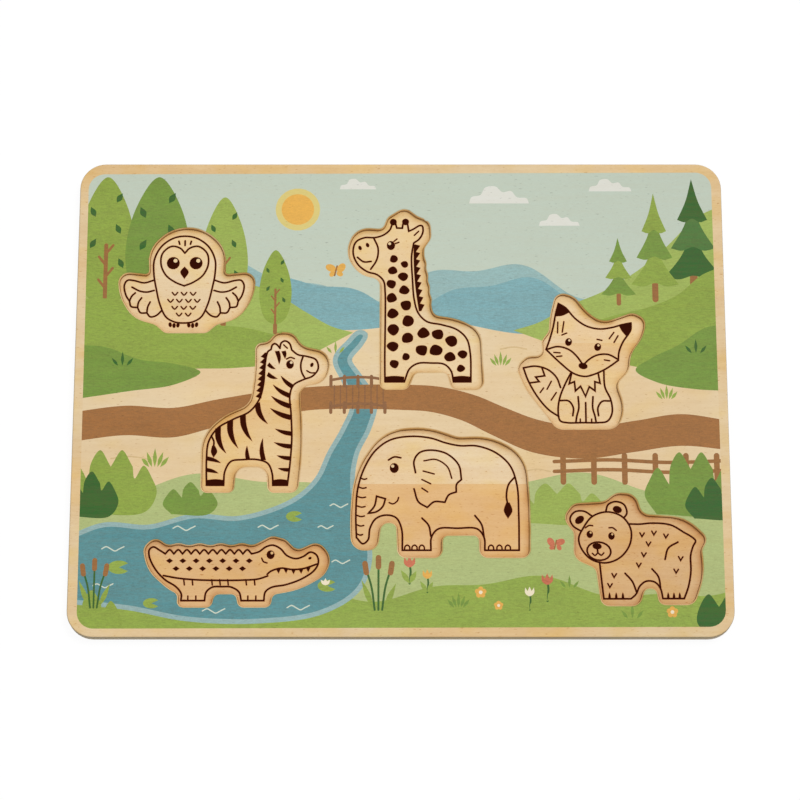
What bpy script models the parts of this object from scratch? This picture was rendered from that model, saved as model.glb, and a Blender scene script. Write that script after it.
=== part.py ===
"""A wooden animal puzzle: a board with seven animal-shaped wells, and a flat wooden animal lying in each.

The board is two glued layers: a plain backing, and a face panel that is cut right through at the wells.
+X runs along the board's long side, +Y away from the player and +Z up, in metres.
The origin is under the middle of the board, on the surface that it lies on.
"""

import math

import bmesh
import bpy

MM = 0.001

# Driving sizes of the board
BOARD_LENGTH = 300 * MM
BOARD_WIDTH = 225 * MM
BOARD_CORNER_RADIUS = 12 * MM
BOARD_EDGE_ROUND = 1.0 * MM
BACKING_THICKNESS = 2.0 * MM
PANEL_THICKNESS = 3.7 * MM
GLUE_LINE = 0.3 * MM

# Driving sizes of the animals, and how they fit in the wells
PIECE_THICKNESS = 2.4 * MM
PIECE_EDGE_ROUND = 0.4 * MM
PIECE_CLEARANCE = 0.5 * MM
SEAT_GAP = 0.3 * MM

# The grid that the animals' outlines are drawn on
OUTLINE_GRID = 1.0 * MM

# How finely round stretches are divided: the most that a chord may stray from its arc, and the least steps
CHORD_ERROR = 0.04 * MM
LEAST_ARC_STEPS = 2
BOARD_EDGE_STEPS = 3
PIECE_EDGE_STEPS = 1

# How far a cutter stands out of what it cuts
CUTTER_OVERRUN = 2 * MM

# The radius of a corner that is as round as the edges beside it allow
FULL = math.inf


# The outlines of the wells
# Each function gives the corners (x, y, radius), in grid steps about the animal's middle, counter-clockwise


def waved_edge(start, end, waves, height):
    """Corners of an edge that waves about the straight way from start to end, its first one on the left."""
    length = math.hypot(end[0] - start[0], end[1] - start[1])
    right = ((end[1] - start[1]) / length, (start[0] - end[0]) / length)
    corners = []
    for k in range(2 * waves + 1):
        share = k / (2 * waves)
        shift = height / 2 if k % 2 else -height / 2
        x = start[0] + (end[0] - start[0]) * share + right[0] * shift
        y = start[1] + (end[1] - start[1]) * share + right[1] * shift
        corners.append((x, y, FULL))
    return corners


def owl_corners():
    """A round head between two spread wings, over a short flat base. The left half mirrors the right half."""
    head_radius = 18
    head_height = 8
    eighth = head_radius * math.tan(math.radians(22.5))
    right_half = [
        (9.6, -25.3, 4),
        (14.2, -21.2, 6),
        (24.5, -18.2, FULL),
        (31.3, -7.5, FULL),
        (32.0, 4.6, 5),
        (17.4, 3.0, 1.8),
        (head_radius, head_height + eighth, head_radius),
        (eighth, head_height + head_radius, head_radius),
    ]
    return right_half + [(-x, y, radius) for x, y, radius in reversed(right_half)]


def giraffe_corners():
    """Standing, facing left, with horns, a waved mane and a gap between the front and hind legs."""
    head = [(-5.2, 45.2, 6), (-13.2, 39.8, 4), (-15.2, 34.2, 3), (-28.0, 35.0, 12), (-33.0, 22.0, 12)]
    neck = [(-26.0, 11.8, FULL), (-16.6, 9.8, 4)]
    front_leg = [(-16.8, -43.4, 3.5), (-3.8, -43.4, 3.5), (-0.6, -35.2, 3)]
    hind_leg = [(14.2, -35.2, 3), (16.6, -43.4, 3.5), (31.2, -43.4, 4)]
    back = [(30.0, -15.2, 14), (20.0, -9.6, FULL), (8.0, -7.8, 4)]
    mane = waved_edge(start=(7.3, -2.5), end=(4.2, 20.5), waves=4, height=0.9)
    ear = [(3.8, 25.0, 4), (7.2, 30.0, 5), (6.7, 38.2, 6), (0.6, 40.6, 6)]
    return head + neck + front_leg + hind_leg + back + mane + ear


def fox_corners():
    """Sitting, with a big tail at the left and two pointed ears."""
    body = [(-12.5, -33.3, 6), (15.2, -33.3, 7), (18.9, -23.0, FULL), (15.1, -11.5, 5)]
    right_cheek = [(21.2, -5.0, 8), (21.6, 2.5, FULL), (27.8, 11.0, FULL)]
    right_ear = [(29.4, 19.4, 5), (23.2, 22.6, 5), (9.5, 17.6, 9)]
    left_ear = [(2.3, 22.3, FULL), (-3.8, 30.6, 8), (-12.0, 32.6, 5), (-15.0, 21.0, FULL)]
    left_cheek = [(-15.6, 13.5, 4), (-19.0, 9.0, 4), (-18.4, 1.8, 3)]
    tail = [(-25.6, 1.6, 5), (-31.0, -3.2, 5), (-27.0, -14.0, FULL)]
    return body + right_cheek + right_ear + left_ear + left_cheek + tail


def zebra_corners():
    """Standing, facing right, with a tuft between the ears and a gap between the legs."""
    ears = [(4.5, 38.2, 6), (1.0, 33.2, 5), (-5.0, 32.8, 4)]
    back = [(-4.8, 18.0, FULL), (-7.0, 3.5, 8), (-20.0, -2.0, FULL), (-29.0, -12.0, FULL)]
    hind_leg = [(-29.0, -38.0, 3), (-14.0, -38.0, 3), (-13.0, -26.0, 5)]
    front_leg = [(1.0, -26.0, 5), (1.5, -38.0, 3), (15.2, -38.0, 4)]
    chest = [(17.4, -14.0, FULL), (15.6, 12.0, 5)]
    muzzle = [(27.5, 14.0, 8), (30.5, 28.2, 9), (16.5, 31.2, 8), (12.4, 37.8, 6)]
    return ears + back + hind_leg + front_leg + chest + muzzle


def elephant_corners():
    """Standing, facing left, with the trunk hanging down in front of two broad feet."""
    head = [(-6.0, 30.9, FULL), (-25.6, 29.4, FULL), (-39.2, 10.0, FULL), (-41.0, -12.0, FULL)]
    trunk = [(-40.3, -26.8, 6), (-28.5, -26.6, 5), (-26.8, -14.0, 4), (-20.0, -14.0, 3)]
    front_foot = [(-19.4, -30.2, 4), (0.8, -30.2, 4), (1.0, -19.9, 2.5)]
    hind_foot = [(17.4, -19.9, 2.5), (17.6, -30.2, 4), (40.6, -30.2, 4)]
    back = [(40.8, -4.0, FULL), (38.8, 17.7, FULL), (23.0, 26.4, FULL), (8.0, 26.0, 12)]
    return head + trunk + front_foot + hind_foot + back


def crocodile_corners():
    """Standing, facing right, with a raised tail tip, a waved back and two short feet."""
    tail = [(-37.0, 15.7, 5), (-42.6, 10.5, 5), (-40.2, 0.0, FULL), (-31.0, -8.3, FULL)]
    hind_foot = [(-26.3, -10.8, 3), (-26.8, -16.9, 3), (-11.2, -16.9, 3), (-10.0, -10.8, 3)]
    front_foot = [(-0.2, -10.8, 2.5), (1.0, -16.9, 3), (15.4, -16.9, 3), (16.2, -11.0, 3)]
    snout = [(28.0, -9.0, FULL), (40.4, -2.0, FULL), (42.7, 6.8, 8), (36.5, 13.5, 5), (27.0, 9.0, 4)]
    brow = [(22.0, 14.3, 5), (15.7, 16.0, 5)]
    back = waved_edge(start=(7.0, 12.1), end=(-31.2, 12.1), waves=4, height=1.7)
    return tail + hind_foot + front_foot + snout + brow + back


def bear_corners():
    """Standing, facing left, with the head tilted, round ears and a small notch between the legs."""
    left_ear = [(-27.7, 21.0, 5), (-32.7, 14.4, 5), (-27.6, 7.5, 4)]
    chin = [(-28.0, -4.5, 6), (-18.0, -9.0, 4)]
    front_leg = [(-15.8, -26.3, 4), (1.5, -26.3, 5), (3.8, -18.2, 3)]
    hind_leg = [(9.0, -18.2, 3), (10.2, -25.8, 3.5), (26.0, -25.8, 5)]
    rump = [(30.8, -12.0, FULL), (30.0, -0.5, 4), (33.0, 5.0, 5), (22.8, 14.8, FULL)]
    right_ear = [(3.2, 15.9, 5), (0.4, 25.6, 6), (-8.5, 26.0, 6), (-13.5, 21.8, 6)]
    return left_ear + chin + front_leg + hind_leg + rump + right_ear


# The seven animals: outline, place of the middle as shares of half the board, and the colour of the wood
ANIMALS = {
    "owl": (owl_corners, (-0.661, 0.489), (0.890, 0.776, 0.580)),
    "giraffe": (giraffe_corners, (0.047, 0.409), (0.890, 0.784, 0.592)),
    "fox": (fox_corners, (0.560, 0.151), (0.878, 0.761, 0.565)),
    "zebra": (zebra_corners, (-0.413, -0.071), (0.886, 0.769, 0.569)),
    "elephant": (elephant_corners, (0.120, -0.409), (0.878, 0.733, 0.529)),
    "crocodile": (crocodile_corners, (-0.493, -0.729), (0.835, 0.667, 0.443)),
    "bear": (bear_corners, (0.707, -0.640), (0.827, 0.659, 0.435)),
}
BACKING_COLOUR = (0.886, 0.776, 0.580)
PANEL_COLOUR = (0.655, 0.710, 0.475)
WOOD_ROUGHNESS = 0.6


# Outlines in metres


def rounded_outline(corners, inset=0.0):
    """Points round a polygon whose corners (x, y, radius), in metres, are rounded by arcs.

    The whole outline is moved in by inset: every arc keeps its centre, and only its radius changes.
    A corner's arc takes at most half of each edge beside it.
    """
    points = []
    for i, (x, y, radius) in enumerate(corners):
        before = (x - corners[i - 1][0], y - corners[i - 1][1])
        after = (corners[(i + 1) % len(corners)][0] - x, corners[(i + 1) % len(corners)][1] - y)
        length_before, length_after = math.hypot(*before), math.hypot(*after)
        ahead = (before[0] / length_before, before[1] / length_before)
        cross = before[0] * after[1] - before[1] * after[0]
        turn = math.atan2(cross, before[0] * after[0] + before[1] * after[1])
        half_turn = math.tan(abs(turn) / 2)
        tangent = min(radius * half_turn, length_before / 2, length_after / 2)
        arc_radius = tangent / half_turn
        side = math.copysign(1, turn)
        centre_x = x - ahead[0] * tangent - ahead[1] * arc_radius * side
        centre_y = y - ahead[1] * tangent + ahead[0] * arc_radius * side
        first_angle = math.atan2(-ahead[0] * side, ahead[1] * side)
        step = 2 * math.acos(1 - CHORD_ERROR / max(arc_radius, CHORD_ERROR))
        steps = max(LEAST_ARC_STEPS, math.ceil(abs(turn) / step))
        reach = arc_radius - inset * side
        for k in range(steps + 1):
            angle = first_angle + turn * k / steps
            points.append((centre_x + reach * math.cos(angle), centre_y + reach * math.sin(angle)))
    return points


def board_outline():
    """The board's rectangle with round corners."""
    x, y = BOARD_LENGTH / 2, BOARD_WIDTH / 2
    radius = BOARD_CORNER_RADIUS
    return rounded_outline([(x, -y, radius), (x, y, radius), (-x, y, radius), (-x, -y, radius)])


def animal_outline(name, inset=0.0):
    """An animal's well outline about its own middle, moved in by inset."""
    corners = [tuple(steps * OUTLINE_GRID for steps in corner) for corner in ANIMALS[name][0]()]
    return rounded_outline(corners, inset)


def animal_place(name, height):
    """Where an animal's middle lies on the board, at the given height."""
    share_x, share_y = ANIMALS[name][1]
    return (share_x * BOARD_LENGTH / 2, share_y * BOARD_WIDTH / 2, height)


# Solids


def wood(name, colour):
    """A plain wood material of an sRGB colour."""
    material = bpy.data.materials.new(name)
    material.use_nodes = True
    shader = material.node_tree.nodes["Principled BSDF"]
    linear = [((c + 0.055) / 1.055) ** 2.4 for c in colour]
    shader.inputs["Base Color"].default_value = (*linear, 1)
    shader.inputs["Roughness"].default_value = WOOD_ROUGHNESS
    shader.inputs["Metallic"].default_value = 0
    material.diffuse_color = (*linear, 1)
    return material


def slab(outline, thickness, rounding=0.0, steps=1, round_bottom=False, round_top=False):
    """A mesh of a flat slab that stands on its own z = 0, with its bottom or top edges rounded over."""
    form = bmesh.new()
    bottom = form.faces.new([form.verts.new((x, y, 0)) for x, y in outline])
    raised = bmesh.ops.extrude_face_region(form, geom=[bottom])["geom"]
    lifted = [item for item in raised if isinstance(item, bmesh.types.BMVert)]
    bmesh.ops.translate(form, verts=lifted, vec=(0, 0, thickness))
    bmesh.ops.recalc_face_normals(form, faces=form.faces)
    rims = []
    for edge in form.edges:
        height = sum(vert.co.z for vert in edge.verts) / 2
        level = abs(edge.verts[0].co.z - edge.verts[1].co.z) < thickness / 2
        if level and (round_bottom if height < thickness / 2 else round_top):
            rims.append(edge)
    if rims:
        bmesh.ops.bevel(
            form,
            geom=rims,
            offset=rounding,
            affect="EDGES",
            segments=steps,
            profile=0.5,
            material=-1,
        )
    mesh = bpy.data.meshes.new("slab")
    form.to_mesh(mesh)
    form.free()
    return mesh


def add_object(name, mesh, location, material=None):
    """Puts a mesh in the scene as an object of that name, and gives it its material."""
    mesh.name = name
    thing = bpy.data.objects.new(name, mesh)
    thing.location = location
    bpy.context.scene.collection.objects.link(thing)
    if material:
        mesh.materials.append(material)
        mesh.shade_smooth()
        mesh.set_sharp_from_angle(angle=math.radians(35))
    return thing


def make_backing_board():
    """The plain layer under the wells, its lower edge rounded over."""
    mesh = slab(board_outline(), BACKING_THICKNESS, BOARD_EDGE_ROUND, BOARD_EDGE_STEPS, round_bottom=True)
    add_object("backing_board", mesh, (0, 0, 0), wood("backing_wood", BACKING_COLOUR))


def make_face_panel():
    """The printed layer, its upper edge rounded over, with a cut-out right through it for each animal."""
    bottom = BACKING_THICKNESS + GLUE_LINE
    mesh = slab(board_outline(), PANEL_THICKNESS, BOARD_EDGE_ROUND, BOARD_EDGE_STEPS, round_top=True)
    panel = add_object("face_panel", mesh, (0, 0, bottom), wood("printed_wood", PANEL_COLOUR))
    for name in ANIMALS:
        depth = PANEL_THICKNESS + 2 * CUTTER_OVERRUN
        place = animal_place(name, bottom - CUTTER_OVERRUN)
        cutter = add_object(name + "_well_cutter", slab(animal_outline(name), depth), place)
        cutter.hide_render = True
        cutter.display_type = "WIRE"
        cut = panel.modifiers.new(name + "_well", "BOOLEAN")
        cut.operation = "DIFFERENCE"
        cut.object = cutter


def make_animal(name):
    """A flat animal lying in its well, smaller all round by the clearance, with its edges eased."""
    mesh = slab(
        animal_outline(name, PIECE_CLEARANCE),
        PIECE_THICKNESS,
        PIECE_EDGE_ROUND,
        PIECE_EDGE_STEPS,
        round_bottom=True,
        round_top=True,
    )
    place = animal_place(name, BACKING_THICKNESS + SEAT_GAP)
    add_object(name + "_piece", mesh, place, wood(name + "_wood", ANIMALS[name][2]))


for leftover in list(bpy.data.objects):
    bpy.data.objects.remove(leftover)
make_backing_board()
make_face_panel()
for animal in ANIMALS:
    make_animal(animal)
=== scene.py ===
"""A wooden animal puzzle: seven flat wooden animals, burnt with line drawings, in a printed board.

Outlines and drawings are in millimetres here, and become metres when they go into a mesh.
"""

import math

import bmesh
import bpy
import numpy as np
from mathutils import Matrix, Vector, geometry


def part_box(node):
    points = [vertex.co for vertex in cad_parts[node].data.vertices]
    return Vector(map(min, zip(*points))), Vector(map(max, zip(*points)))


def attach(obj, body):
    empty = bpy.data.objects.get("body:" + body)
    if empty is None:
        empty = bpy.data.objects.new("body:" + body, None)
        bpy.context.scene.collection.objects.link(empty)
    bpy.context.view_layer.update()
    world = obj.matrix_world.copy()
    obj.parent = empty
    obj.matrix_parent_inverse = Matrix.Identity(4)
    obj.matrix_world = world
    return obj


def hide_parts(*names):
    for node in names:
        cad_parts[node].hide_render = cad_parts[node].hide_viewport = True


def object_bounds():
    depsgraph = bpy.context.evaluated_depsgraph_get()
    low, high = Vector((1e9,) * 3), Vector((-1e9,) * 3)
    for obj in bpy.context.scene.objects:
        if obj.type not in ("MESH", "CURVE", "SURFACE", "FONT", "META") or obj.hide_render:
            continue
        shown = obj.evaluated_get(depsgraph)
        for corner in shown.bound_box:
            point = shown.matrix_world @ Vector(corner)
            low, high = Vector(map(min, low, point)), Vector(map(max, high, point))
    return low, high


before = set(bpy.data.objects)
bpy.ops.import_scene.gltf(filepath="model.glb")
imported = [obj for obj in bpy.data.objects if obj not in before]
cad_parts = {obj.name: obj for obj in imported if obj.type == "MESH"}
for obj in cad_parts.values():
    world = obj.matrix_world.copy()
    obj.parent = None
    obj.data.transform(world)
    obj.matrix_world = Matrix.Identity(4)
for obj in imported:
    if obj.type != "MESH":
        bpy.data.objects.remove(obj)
cad_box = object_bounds()


# The table, the light and the camera
# The board lies on a white studio table. One broad soft lamp stands at its far right, a weak one hangs close
# above its middle, and the room fills the rest.
# The camera looks down at it steeply from the near side, through a long lens.

MM = 0.001
BOARD_TOP = cad_box[1][2]
CAMERA_ELEVATION = math.radians(74.64)
CAMERA_DISTANCE = 1.266
CAMERA_LENS = 124.3
CAMERA_SENSOR = 36
CAMERA_TARGET = Vector((-0.0003, -0.0023, BOARD_TOP))
LAMP_DIRECTION = Vector((0.38, 0.35, 0.90))
LAMP_SPREAD = math.radians(30)
LAMP_STRENGTH = 1.49
LOW_LAMP_PLACE = Vector((-0.02, 0, BOARD_TOP + 0.3))
LOW_LAMP_RADIUS = 0.08
LOW_LAMP_POWER = 0.40
ROOM_LIGHT = 0.47
WHITE = (1, 1, 1, 1)
TABLE_WHITE = (0.93, 0.93, 0.93, 1)
TABLE_ROUGHNESS = 0.9
TABLE_SIZE = 6.0
TABLE_GLOW_SHARE = 0.92
TABLE_GLOW = 1.02

scene = bpy.context.scene
scene.view_settings.view_transform = "Standard"


def added(name, data):
    """A new object in the scene that holds the data."""
    thing = bpy.data.objects.new(name, data)
    scene.collection.objects.link(thing)
    return thing


camera = added("camera", bpy.data.cameras.new("camera"))
camera.data.lens = CAMERA_LENS
camera.data.sensor_width = CAMERA_SENSOR
camera.data.clip_start = 0.01
toward = Vector((0, -math.cos(CAMERA_ELEVATION), math.sin(CAMERA_ELEVATION)))
camera.location = CAMERA_TARGET + toward * CAMERA_DISTANCE
camera.rotation_euler = (math.pi / 2 - CAMERA_ELEVATION, 0, 0)
scene.camera = camera

lamp = added("lamp", bpy.data.lights.new("lamp", "SUN"))
lamp.data.energy = LAMP_STRENGTH
lamp.data.angle = LAMP_SPREAD
lamp.rotation_euler = LAMP_DIRECTION.to_track_quat("Z", "Y").to_euler()

low_lamp = added("low_lamp", bpy.data.lights.new("low_lamp", "POINT"))
low_lamp.data.energy = LOW_LAMP_POWER
low_lamp.data.shadow_soft_size = LOW_LAMP_RADIUS
low_lamp.location = LOW_LAMP_PLACE
low_lamp.visible_camera = False


def feed(tree, fed, sources):
    """Sets a node's inputs, by name or number, to values or to what other nodes give."""
    for entry, source in sources.items():
        if isinstance(source, bpy.types.NodeSocket):
            tree.links.new(source, fed.inputs[entry])
        else:
            fed.inputs[entry].default_value = source


def node(tree, kind, sources=None, **settings):
    """A new shader node with those settings, fed by those sources."""
    made = tree.nodes.new(kind)
    for name, value in settings.items():
        setattr(made, name, value)
    feed(tree, made, sources or {})
    return made


def sum_of(tree, operation, *terms, **settings):
    """What a sum makes of values or of what other nodes give."""
    made = node(tree, "ShaderNodeMath", dict(enumerate(terms)), operation=operation, **settings)
    return made.outputs["Value"]


def seen_directly(tree):
    """1 where the camera sees the surface straight, mirrored or through glass, and 0 for all other light."""
    rays = node(tree, "ShaderNodeLightPath").outputs
    either = sum_of(tree, "MAXIMUM", rays["Is Camera Ray"], rays["Is Glossy Ray"])
    return sum_of(tree, "MAXIMUM", either, rays["Is Transmission Ray"])


room = bpy.data.worlds.new("room")
room.use_nodes = True
scene.world = room
tree = room.node_tree
ambient = tree.nodes["Background"]
feed(tree, ambient, {"Color": WHITE, "Strength": ROOM_LIGHT})
white = node(tree, "ShaderNodeBackground", {"Color": WHITE, "Strength": 1})
lights = {"Fac": seen_directly(tree), 1: ambient.outputs["Background"], 2: white.outputs["Background"]}
mixed_light = node(tree, "ShaderNodeMixShader", lights)
feed(tree, tree.nodes["World Output"], {"Surface": mixed_light.outputs["Shader"]})

form = bmesh.new()
bmesh.ops.create_grid(form, x_segments=1, y_segments=1, size=TABLE_SIZE / 2)
table = added("table", bpy.data.meshes.new("table"))
form.to_mesh(table.data)
form.free()
table_white = bpy.data.materials.new("table_white")
table_white.use_nodes = True
tree = table_white.node_tree
paper = tree.nodes["Principled BSDF"]
feed(tree, paper, {"Base Color": TABLE_WHITE, "Roughness": TABLE_ROUGHNESS, "Specular IOR Level": 0})
glow = node(tree, "ShaderNodeEmission", {"Strength": TABLE_GLOW})
share = sum_of(tree, "MULTIPLY", seen_directly(tree), TABLE_GLOW_SHARE)
finishes = {"Fac": share, 1: paper.outputs["BSDF"], 2: glow.outputs["Emission"]}
mixed_finish = node(tree, "ShaderNodeMixShader", finishes)
feed(tree, tree.nodes["Material Output"], {"Surface": mixed_finish.outputs["Shader"]})
table.data.materials.append(table_white)


# The owl
# A flat owl of light plywood, cut out by a laser, which browns its sides and the wood along them, with
# painted shade on the far and right sides. Sanding has eased the edges. The drawing is burnt in as fine dark
# grooves.

LINE_WIDTH = 0.75
FINE_LINE = 0.6
LINE_END_STEPS = 6
CURVE_STEP = 0.7
MOST_CURVE_STEPS = 14
FEWEST_OVAL_STEPS = 12
OVAL_STEPS = 8
SHARPEST_MITRE = 0.35
GROOVE_DEPTH = 0.1
DRAWING_SHIFT = -1.3
PIECE_EDGE = 0.4
PIECE_TOP_EDGE = 0.2
PIECE_HEAT = ((0.4, 0.97), (0.9, 0.78), (1.5, 0.5), (2.2, 0.24), (3.0, 0.06), (3.8, 0))
# The next two numbers paint shade: they make the browning along each cut darker on its far and right sides,
# as painted shade, and set its mean level.
PAINTED_SHADE_WAY = np.array((0.2, 0.26))
PAINTED_SHADE_MEAN = 0.76
EDGE_STEPS = 4
SHARP_ANGLE = math.radians(50)
BARE, BURNT, SCORCHED = 0, 1, 2
SCORCH_REACH = 0.14
WOOD, GROOVE, SIDE = 0, 1, 2
NEAR_NOTHING = 1e-6
SAME_PLACE = 1e-4
STRAIGHT_ENOUGH = 0.002
SHORTEST_STEP = 0.02


def between(t, low, high, start, end):
    """The point that lies between start and end as t lies between low and high."""
    return start + (end - start) * ((t - low) / (high - low))


def through(points):
    """A smooth line from the second point to the last but one, in short straight steps."""
    path = [points[1]]
    for four in zip(points, points[1:], points[2:], points[3:]):
        a, b, c, d = (np.array(point, float) for point in four)
        t1 = max(math.dist(a, b), NEAR_NOTHING) ** 0.5
        t2 = t1 + max(math.dist(b, c), NEAR_NOTHING) ** 0.5
        t3 = t2 + max(math.dist(c, d), NEAR_NOTHING) ** 0.5
        steps = min(MOST_CURVE_STEPS, max(2, math.ceil(math.dist(b, c) / CURVE_STEP)))
        if len(points) == 4:
            steps = 1
        for k in range(1, steps + 1):
            t = t1 + (t2 - t1) * k / steps
            ab, bc, cd = between(t, 0, t1, a, b), between(t, t1, t2, b, c), between(t, t2, t3, c, d)
            abc, bcd = between(t, 0, t2, ab, bc), between(t, t1, t3, bc, cd)
            path.append(tuple(between(t, t1, t2, abc, bcd)))
    return path


def curve(points, closed=False):
    """A smooth line through the points. A point that is written twice is a corner."""
    cornered = any(a == b for a, b in zip(points, points[1:]))
    if closed and not cornered:
        return through([points[-1], *points, points[0], points[1]])[:-1]
    if closed:
        points = [*points, points[0]]
    runs = [[points[0]]]
    for point in points[1:]:
        if point == runs[-1][-1]:
            runs.append([point])
        else:
            runs[-1].append(point)
    path = []
    for run in runs:
        if len(run) > 1:
            before = (2 * run[0][0] - run[1][0], 2 * run[0][1] - run[1][1])
            after = (2 * run[-1][0] - run[-2][0], 2 * run[-1][1] - run[-2][1])
            path += through([before, *run, after])[1 if path else 0:]
    return path[:-1] if closed else path


def oval(x, y, radius_x, radius_y=None, turn=0.0):
    """The outline of a circle, or of an oval that is turned by some degrees."""
    radius_y = radius_y or radius_x
    steps = max(FEWEST_OVAL_STEPS, math.ceil(OVAL_STEPS * math.sqrt(max(radius_x, radius_y))))
    across, along = math.cos(math.radians(turn)), math.sin(math.radians(turn))
    points = []
    for k in range(steps):
        u = radius_x * math.cos(2 * math.pi * k / steps)
        v = radius_y * math.sin(2 * math.pi * k / steps)
        points.append((x + u * across - v * along, y + u * along + v * across))
    return points


# A mark is its paint, its points, its width, which is 0 where it is filled, and whether it is closed


def line(*points, width=LINE_WIDTH):
    """A burnt line."""
    return (BURNT, curve(points), width, False)


def fine(*points):
    """A fine burnt line."""
    return line(*points, width=FINE_LINE)


def loop(*points):
    """A burnt line that ends where it starts."""
    return (BURNT, curve(points, closed=True), LINE_WIDTH, True)


def ring(*shape):
    """A burnt oval line."""
    return (BURNT, oval(*shape), LINE_WIDTH, True)


def solid(*points):
    """A wholly burnt shape."""
    return (BURNT, curve(points, closed=True), 0, True)


def dot(*shape):
    """A wholly burnt oval."""
    return (BURNT, oval(*shape), 0, True)


def glint(*shape):
    """An oval of bare wood left inside a burnt shape."""
    return (BARE, oval(*shape), 0, True)


def mirrored(*marks):
    """The marks and their mirror images on the other side of the middle."""
    return [*marks, *((paint, [(-x, y) for x, y in points], *rest) for paint, points, *rest in marks)]


def right_of(ahead):
    """The way that faces right of each straight stretch."""
    ahead = ahead / np.linalg.norm(ahead, axis=1)[:, None]
    return np.stack([ahead[:, 1], -ahead[:, 0]], 1)


def mitred(facing, other):
    """How far a step of 1 sideways moves each corner between two stretches that face those ways."""
    both = facing + other
    return both / np.maximum((both * both).sum(1) / 2, SHARPEST_MITRE)[:, None]


def pushed_out(path):
    """At each point of a closed line, counter-clockwise, how far a step of 1 outwards moves it."""
    points = np.array(path)
    facing = right_of(np.roll(points, -1, 0) - points)
    return mitred(facing, np.roll(facing, 1, 0))


def round_end(spot, out, width):
    """The round end of a line, from the side that faces out to the other side."""
    on = np.array((-out[1], out[0]))
    turns = [math.pi * k / LINE_END_STEPS for k in range(1, LINE_END_STEPS)]
    return [spot + out * width / 2 * math.cos(turn) + on * width / 2 * math.sin(turn) for turn in turns]


def line_edges(path, width, closed):
    """The outlines of a line of some width: both its sides, or one outline round it with round ends."""
    points = np.array(path)
    if closed:
        out = pushed_out(path) * width / 2
        return [points + out, points - out]
    facing = right_of(np.diff(points, axis=0))
    side = np.concatenate([facing[:1], mitred(facing[1:], facing[:-1]), facing[-1:]]) * width / 2
    last_end = round_end(points[-1], facing[-1], width)
    first_end = round_end(points[0], -facing[0], width)
    return [np.concatenate([points + side, last_end, (points - side)[::-1], first_end])]


def within(spots, path):
    """Which of the spots lie inside a closed line."""
    start = np.array(path)
    end = np.roll(start, -1, 0)
    x, y = spots[:, :1], spots[:, 1:]
    straddles = (start[:, 1] > y) != (end[:, 1] > y)
    rise = end[:, 1] - start[:, 1]
    rise = np.where(rise == 0, NEAR_NOTHING, rise)
    crosses = start[:, 0] + (y - start[:, 1]) * (end[:, 0] - start[:, 0]) / rise > x
    return (straddles & crosses).sum(1) % 2 == 1


def apart(spots, start, end):
    """How far each of the spots is from each straight stretch, and at what share of it that way meets it."""
    ahead = end - start
    away = spots[:, None] - start
    share = np.clip((away * ahead).sum(2) / (ahead * ahead).sum(1), 0, 1)
    return np.linalg.norm(away - ahead * share[..., None], axis=2), share


def beside(spots, path, reach, closed):
    """Which of the spots lie within reach of a line."""
    start = np.array(path)
    end = np.roll(start, -1, 0)
    if not closed:
        start, end = start[:-1], end[:-1]
    return (apart(spots, start, end)[0] < reach).any(1)


def divided(rims, marks, guides=(), limit=None):
    """Divides the area inside the first rim and outside the others along the guides and the marks' edges.

    Gives the corners, the triangles and each triangle's paint, which is BARE outside the limit.
    """
    outlines = [*rims, *guides, limit] if limit else [*rims, *guides]
    for paint, path, width, closed in marks:
        outlines += line_edges(path, width, closed) if width else [np.array(path)]
    edges = []
    count = 0
    for outline in outlines:
        turn = list(range(count, count + len(outline)))
        edges += zip(turn, turn[1:] + turn[:1])
        count += len(outline)
    spots = [Vector(spot) for spot in np.concatenate(outlines)]
    result = geometry.delaunay_2d_cdt(spots, edges, [], 0, SAME_PLACE, True)
    places = np.array([(corner.x, corner.y) for corner in result[0]])
    triangles = np.array(result[2])
    middles = places[triangles].mean(1)
    kept = within(middles, rims[0])
    for rim in rims[1:]:
        kept &= ~within(middles, rim)
    triangles, middles = triangles[kept], middles[kept]
    paints = np.full(len(triangles), BARE)
    for paint, path, width, closed in marks:
        low, high = np.min(path, axis=0) - width, np.max(path, axis=0) + width
        near = np.flatnonzero(((middles > low) & (middles < high)).all(1))
        spots = middles[near]
        hit = beside(spots, path, width / 2, closed) if width else within(spots, path)
        paints[near[hit]] = paint
    if limit:
        paints[~within(middles, limit)] = BARE
    return places, triangles, paints


def without_needless(path):
    """A closed line without the points that lie on a neighbour, or on the straight way between both."""
    kept = [path[0]]
    for k in range(1, len(path)):
        start, spot, end = np.array(kept[-1]), np.array(path[k]), np.array(path[(k + 1) % len(path)])
        ahead, away = end - start, spot - start
        off = abs(ahead[0] * away[1] - ahead[1] * away[0]) / max(math.hypot(*ahead), NEAR_NOTHING)
        if off > STRAIGHT_ENOUGH and math.dist(start, spot) > SHORTEST_STEP:
            kept.append(path[k])
    return np.array(kept)


def counter_clockwise(path):
    """A closed line with its inside on its left."""
    following = np.roll(path, -1, 0)
    area = (path[:, 0] * following[:, 1] - path[:, 1] * following[:, 0]).sum()
    return path if area > 0 else path[::-1]


def outlines_at(part, height):
    """The outlines of a CAD node where a level plane cuts it, the largest first, counter-clockwise."""
    form = bmesh.new()
    form.from_mesh(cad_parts[part].data)
    bmesh.ops.remove_doubles(form, verts=form.verts, dist=NEAR_NOTHING)
    whole = [*form.verts, *form.edges, *form.faces]
    cut = bmesh.ops.bisect_plane(form, geom=whole, plane_co=(0, 0, height * MM), plane_no=(0, 0, 1))
    rest = dict.fromkeys(item for item in cut["geom_cut"] if isinstance(item, bmesh.types.BMEdge))
    lines = []
    while rest:
        edge, _ = rest.popitem()
        first, vert = edge.verts
        path = [first.co.xy / MM]
        while vert is not first:
            path.append(vert.co.xy / MM)
            edge = next(e for e in vert.link_edges if e in rest)
            del rest[edge]
            vert = edge.other_vert(vert)
        lines.append(counter_clockwise(without_needless(path)))
    form.free()
    return sorted(lines, key=lambda path: -abs(np.ptp(path, axis=0).prod()))


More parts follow.
